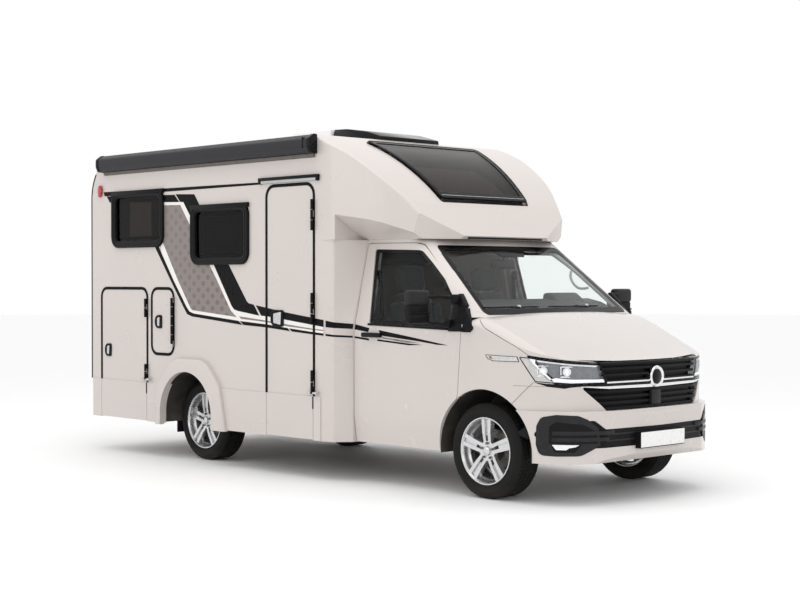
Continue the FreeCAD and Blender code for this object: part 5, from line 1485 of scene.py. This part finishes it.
class CAMPER_OT_cabin(bpy.types.Operator):
    """Furnish the cab: seats, belts, posts, mirror, grab handles and the dashboard's trim"""

    bl_idname = "camper.cabin"
    bl_label = "Cab inside"

    def execute(self, context):
        for tag, side in SIDES:
            self.seat(tag, side * SEAT_Y)
        for tag, side in SIDES:
            post = leaned(prism([(0.690, 1.21, 0.01), (0.775, 1.21, 0.01), (0.745, 1.80, 0.01),
                                 (0.690, 1.82, 0.01)], "y", side * 0.900, side * 0.870, 0.008))
            if side > 0:
                for vertex in post.data.vertices:
                    vertex.co.y -= 2 * LEAN * max(0.0, vertex.co.z - BELT_Z)
            piece(post, f"belt_post_{tag}", "body", "pillar grey")
            web = prism([(0.782, 0.95), (0.824, 0.95), (0.786, 1.62), (0.744, 1.62)], "y",
                        side * 0.775, side * 0.772, 0.0006)
            piece(web, f"belt_{tag}", "body", "trim black")
            guide = block((0.740, 0.795), (side * 0.785 - 0.016, side * 0.785 + 0.016),
                          (1.585, 1.660), 0.012, 3)
            piece(guide, f"belt_guide_{tag}", "body", "trim black")
            cover = pipe([(1.870, side * 0.812, 1.345), (1.630, side * 0.744, 1.555),
                          (1.430, side * 0.694, 1.720), (1.285, side * 0.650, 1.815)], 0.020,
                         sides=4)
            piece(cover, f"screen_post_{tag}", "body", "pillar grey", 60)
            grab = pipe([(1.655, side * 0.700, 1.520), (1.600, side * 0.668, 1.505),
                         (1.545, side * 0.650, 1.540), (1.500, side * 0.650, 1.610),
                         (1.500, side * 0.668, 1.655)], 0.0105, sides=4)
            piece(grab, f"grab_handle_{tag}", "body", "pillar grey", 60)
            visor = block((1.225, 1.330), (side * 0.36 - 0.21, side * 0.36 + 0.21),
                          (1.826, 1.842), 0.007)
            piece(visor, f"sun_visor_{tag}", "body", "dash grey")
        header = block((1.15, 1.262), (-0.60, 0.60), (1.846, 1.872), 0.008)
        piece(header, "screen_header", "body", "pillar grey")
        glass = merged([block((1.340, 1.372), (-0.135, 0.135), (1.668, 1.748), 0.018, 4),
                        pipe([(1.362, 0, 1.740), (1.372, 0, 1.775), (1.352, 0, 1.802)], 0.011)])
        piece(glass, "inside_mirror", "body", "trim black", 50)
        shade = block((1.3365, 1.3405), (-0.122, 0.122), (1.680, 1.736), 0.0015)
        piece(shade, "inside_mirror_glass", "body", "reflector")
        hood = prism([(1.522, 1.300, 0.02), (1.545, 1.478, 0.03), (1.620, 1.482, 0.05),
                      (1.725, 1.405, 0.02), (1.700, 1.320)], "y", 0.260, 0.600, 0.022, 3)
        piece(hood, "dial_hood", "body", "dash grey")
        screen = block((1.458, 1.470), (-0.120, 0.120), (1.100, 1.235), 0.006)
        piece(raked(screen, 1.46, 1.10, -14), "centre_screen", "body", "gloss black")
        vents = merged([block((1.468, 1.490), (y - 0.055, y + 0.055), (1.168, 1.222), 0.008)
                        for y in (-0.68, -0.22, 0.20, 0.70)])
        piece(vents, "air_vents", "body", "trim black")
        lever = merged([pipe([(1.40, 0.02, 0.98), (1.375, 0.02, 1.08)], 0.008, curved=False),
                        lathe([(0, 0), (0.018, 0.006), (0.024, 0.03), (0.018, 0.052), (0, 0.058)],
                              (1.375, 0.02, 1.07), "z", 20),
                        block((1.36, 1.47), (-0.06, 0.10), (0.93, 0.995), 0.012)])
        piece(lever, "gear_lever", "body", "trim black")
        return {"FINISHED"}

    def seat(self, tag, y):
        """Seat with a base, a cushion between bolsters, a two-tone back and a headrest."""
        x = SEAT_X

        def leaned_back(obj):
            return raked(obj, x - 0.2, 0.9, SEAT_RAKE)

        plinth = block((x - 0.215, x + 0.215), (y - 0.195, y + 0.195), (0.662, 0.802), 0.02)
        piece(plinth, f"seat_base_{tag}", "body", "trim black")
        light = [cushion((x - 0.215, x + 0.270), (y - 0.160, y + 0.160), (0.810, 0.935), 0.035)]
        dark = []
        for s in (-1, 1):
            across = sorted((y + s * 0.150, y + s * 0.245))
            dark.append(cushion((x - 0.225, x + 0.262), across, (0.808, 0.950), 0.035))
        light.append(leaned_back(cushion((x - 0.268, x - 0.130), (y - 0.155, y + 0.155),
                                         (0.930, 1.225), 0.035)))
        backs = [cushion((x - 0.268, x - 0.140), (y - 0.160, y + 0.160), (1.210, 1.480), 0.035),
                 cushion((x - 0.255, x - 0.150), (y - 0.128, y + 0.128), (1.505, 1.690), 0.040)]
        for s in (-1, 1):
            across = sorted((y + s * 0.140, y + s * 0.236))
            backs.append(cushion((x - 0.272, x - 0.112), across, (0.915, 1.400), 0.035))
        dark += [leaned_back(part) for part in backs]
        soft = merged(dark)
        piece(soft, f"seat_dark_{tag}", "body", "seat dark", 60)
        piece(merged(light), f"seat_light_{tag}", "body", "seat light", 60)
        posts = merged([leaned_back(pipe([(x - 0.205, y + s * 0.06, 1.44),
                                          (x - 0.205, y + s * 0.06, 1.54)], 0.007, curved=False))
                        for s in (-1, 1)])
        piece(posts, f"seat_posts_{tag}", "body", "satin metal")
        rail = merged([block((x - 0.23, x + 0.23), (y + s * 0.17 - 0.012, y + s * 0.17 + 0.012),
                             (0.660, 0.672), 0.002) for s in (-1, 1)])
        piece(rail, f"seat_rail_{tag}", "body", "frame steel")
        if tag == "left":
            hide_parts("seats")


# ---------------------------------------------------------------- rear end and underside
def arch(x, z, outer, inner, foot, y0, y1):
    """Half ring with straight legs, as a wheel housing's outer skin."""
    outline = oval(x, z, outer, outer, range(0, 181, 6)) + [(x - outer, foot), (x - inner, foot)]
    outline += oval(x, z, inner, inner, range(180, -1, -6))
    return prism(outline + [(x + inner, foot), (x + outer, foot)], "y", y0, y1)


def housing_wall(x, z, radius, foot, y0, y1):
    """Upright inner wall of a wheel housing."""
    outline = oval(x, z, radius, radius, range(0, 181, 6))
    return prism(outline + [(x - radius, foot), (x + radius, foot)], "y", y0, y1)


class CAMPER_OT_rear(bpy.types.Operator):
    """Add the tail lamps' lenses, the rear plate, reflectors, wheel housings, exhaust and flaps"""

    bl_idname = "camper.rear"
    bl_label = "Rear and underside"

    def execute(self, context):
        for tag, side in SIDES:
            y0, y1 = sorted((side * 0.955, side * 1.055))
            frame_ring = moulding(box_outline(y0 - 0.004, y1 + 0.004, 0.752, 1.128, 0.02), "x",
                                  -2.9042, -0.006, ((0.004, 0.003), (0.006, 0.0), (0.003, -0.004)))
            piece(frame_ring, f"tail_frame_{tag}", "body", "trim black")
            for name, z0, z1, finish in (("turn", 1.035, 1.108, "lamp amber"),
                                         ("reverse", 0.955, 1.025, "lamp glass"),
                                         ("stop", 0.775, 0.945, "lamp red")):
                lens = block((-2.9155, -2.9121), (side * 1.005 - 0.036, side * 1.005 + 0.036),
                             (z0, z1), 0.0012)
                piece(lens, f"tail_{name}_{tag}", "body", finish)
            disc = lathe([(0, 0), (0.034, 0), (0.036, -0.004), (0.032, -0.006), (0, -0.006)],
                         (-2.926, side * 0.80, 0.585), "x", 28)
            piece(disc, f"reflector_{tag}", "body", "lamp red")
            flap = block((-1.765, -1.755), (side * 0.80 - 0.13, side * 0.80 + 0.13),
                         (0.215, 0.50), 0.003)
            piece(flap, f"mud_flap_{tag}", "body", "rubber seal")
        for name, shapes in (
                ("front", (arch(2.032, 0.345, 0.4494, 0.4464, 0.300, -0.925, -0.515),
                           housing_wall(2.032, 0.345, 0.4464, 0.530, -0.5066, -0.5036))),
                ("rear", (arch(-1.346, 0.420, 0.3765, 0.3735, 0.320, -1.078, -0.668),
                          housing_wall(-1.346, 0.420, 0.3735, 0.320, -0.6710, -0.6680)))):
            pair(merged(list(shapes)), f"wheel_housing_{name}", "body", "underbody black",
                 50)
        plate = block((-2.9185, -2.9165), (-0.258, 0.258), (0.518, 0.627), 0.0008)
        piece(plate, "rear_plate", "body", "plate white")
        lamp = block((-2.9225, -2.902), (-0.12, 0.12), (0.638, 0.654), 0.004)
        piece(lamp, "rear_plate_lamp", "body", "trim black")
        for name, radius, points in (
                ("exhaust_pipe", 0.028, [(1.95, -0.20, 0.33), (1.70, -0.25, 0.40),
                                         (1.20, -0.28, 0.43), (0.2, -0.28, 0.43),
                                         (-0.60, -0.28, 0.43)]),
                ("tail_pipe", 0.026, [(-0.95, -0.28, 0.43), (-1.10, -0.30, 0.50),
                                      (-1.45, -0.30, 0.52), (-1.80, -0.42, 0.43),
                                      (-2.15, -0.70, 0.35), (-2.30, -0.86, 0.31)])):
            piece(pipe(points, radius, sides=5), name, "body", "brake iron", 60)
        muffler = lathe([(0, -1.30), (0.08, -1.30), (0.095, -1.28), (0.095, -0.62), (0.08, -0.60),
                         (0, -0.60)], (0, -0.24, 0.445), "x", 28)
        muffler.data.transform(Matrix.Translation((0.35, 0, 0)))
        piece(muffler, "muffler", "body", "brake iron")
        return {"FINISHED"}


# ---------------------------------------------------------------- stage, light and camera
class CAMPER_OT_stage(bpy.types.Operator):
    """Set up the pale floor, the soft lights and the camera"""

    bl_idname = "camper.stage"
    bl_label = "Stage"

    def execute(self, context):
        stage = context.scene.camper_stage
        floor_finish = Finish("studio floor", (0.95, 0.95, 0.95), 0.6,
                              Specular_IOR_Level=0.1).mottle(2.0, 0.004).bump(60, 0.01)
        deselect()
        bpy.ops.mesh.primitive_circle_add(vertices=96, radius=60, fill_type="NGON",
                                          location=(0, 0, -0.002))
        floor = context.object
        floor.name = "studio_floor"
        floor.data.materials.append(floor_finish.material)
        for name, spot, aim, size, power in (
                ("soft_box", (0.5, -1.0, 6.5), (0, 0, 1), (9.0, 5.0), stage.key),
                ("front_fill", (9.0, -5.5, 4.0), (2.0, -0.5, 1.2), (4.0, 3.0), stage.key * 0.35),
                ("side_fill", (-1.5, -9.0, 3.6), (-0.5, -1.0, 1.2), (8.0, 2.5), stage.key * 0.35)):
            data = bpy.data.lights.new(name, "AREA")
            data.shape = "RECTANGLE"
            data.size, data.size_y = size
            data.energy = power
            light = bpy.data.objects.new(name, data)
            light.location = spot
            light.rotation_euler = (Vector(aim) - Vector(spot)).to_track_quat("-Z", "Y").to_euler()
            context.scene.collection.objects.link(light)
        world = bpy.data.worlds.new("studio")
        world.use_nodes = True
        preset(world.node_tree.nodes["Background"], Color=(1.0, 1.0, 1.0, 1.0),
               Strength=stage.sky)
        context.scene.world = world
        camera = bpy.data.objects.new("camera", bpy.data.cameras.new("camera"))
        camera.data.sensor_width = 36
        camera.data.lens = stage.lens
        camera.data.clip_end = 300
        camera.location = stage.eye
        camera.rotation_euler = (math.pi / 2 - stage.pitch, 0, stage.turn)
        context.scene.collection.objects.link(camera)
        context.scene.camera = camera
        context.scene.view_settings.view_transform = "Standard"
        return {"FINISHED"}


# ---------------------------------------------------------------- panel and registration
class CAMPER_PT_panel(bpy.types.Panel):
    """Sidebar panel with the settings and one button for each group of pieces"""

    bl_idname = "CAMPER_PT_panel"
    bl_label = "Camper van dressing"
    bl_space_type = "VIEW_3D"
    bl_region_type = "UI"
    bl_category = "Camper"

    def draw(self, context):
        for key, kind in SETTINGS.items():
            column = self.layout.box().column()
            for name in kind.__annotations__:
                column.prop(getattr(context.scene, key), name)
        for step in STEPS:
            self.layout.operator(step.bl_idname)


STEPS = (CAMPER_OT_finishes, CAMPER_OT_stripes, CAMPER_OT_box_windows, CAMPER_OT_hatches,
         CAMPER_OT_box_trim, CAMPER_OT_nose, CAMPER_OT_cab_glazing, CAMPER_OT_mirrors,
         CAMPER_OT_front, CAMPER_OT_wheels, CAMPER_OT_cabin, CAMPER_OT_rear, CAMPER_OT_stage)
CLASSES = (*SETTINGS.values(), *STEPS, CAMPER_PT_panel)


def register():
    for kind in CLASSES:
        bpy.utils.register_class(kind)
    for key, kind in SETTINGS.items():
        setattr(bpy.types.Scene, key, bpy.props.PointerProperty(type=kind))


def unregister():
    for key in SETTINGS:
        delattr(bpy.types.Scene, key)
    for kind in reversed(CLASSES):
        bpy.utils.unregister_class(kind)


def main():
    register()
    for step in STEPS:
        group, name = step.bl_idname.split(".")
        getattr(getattr(bpy.ops, group), name)()


if __name__ == "__main__":
    main()
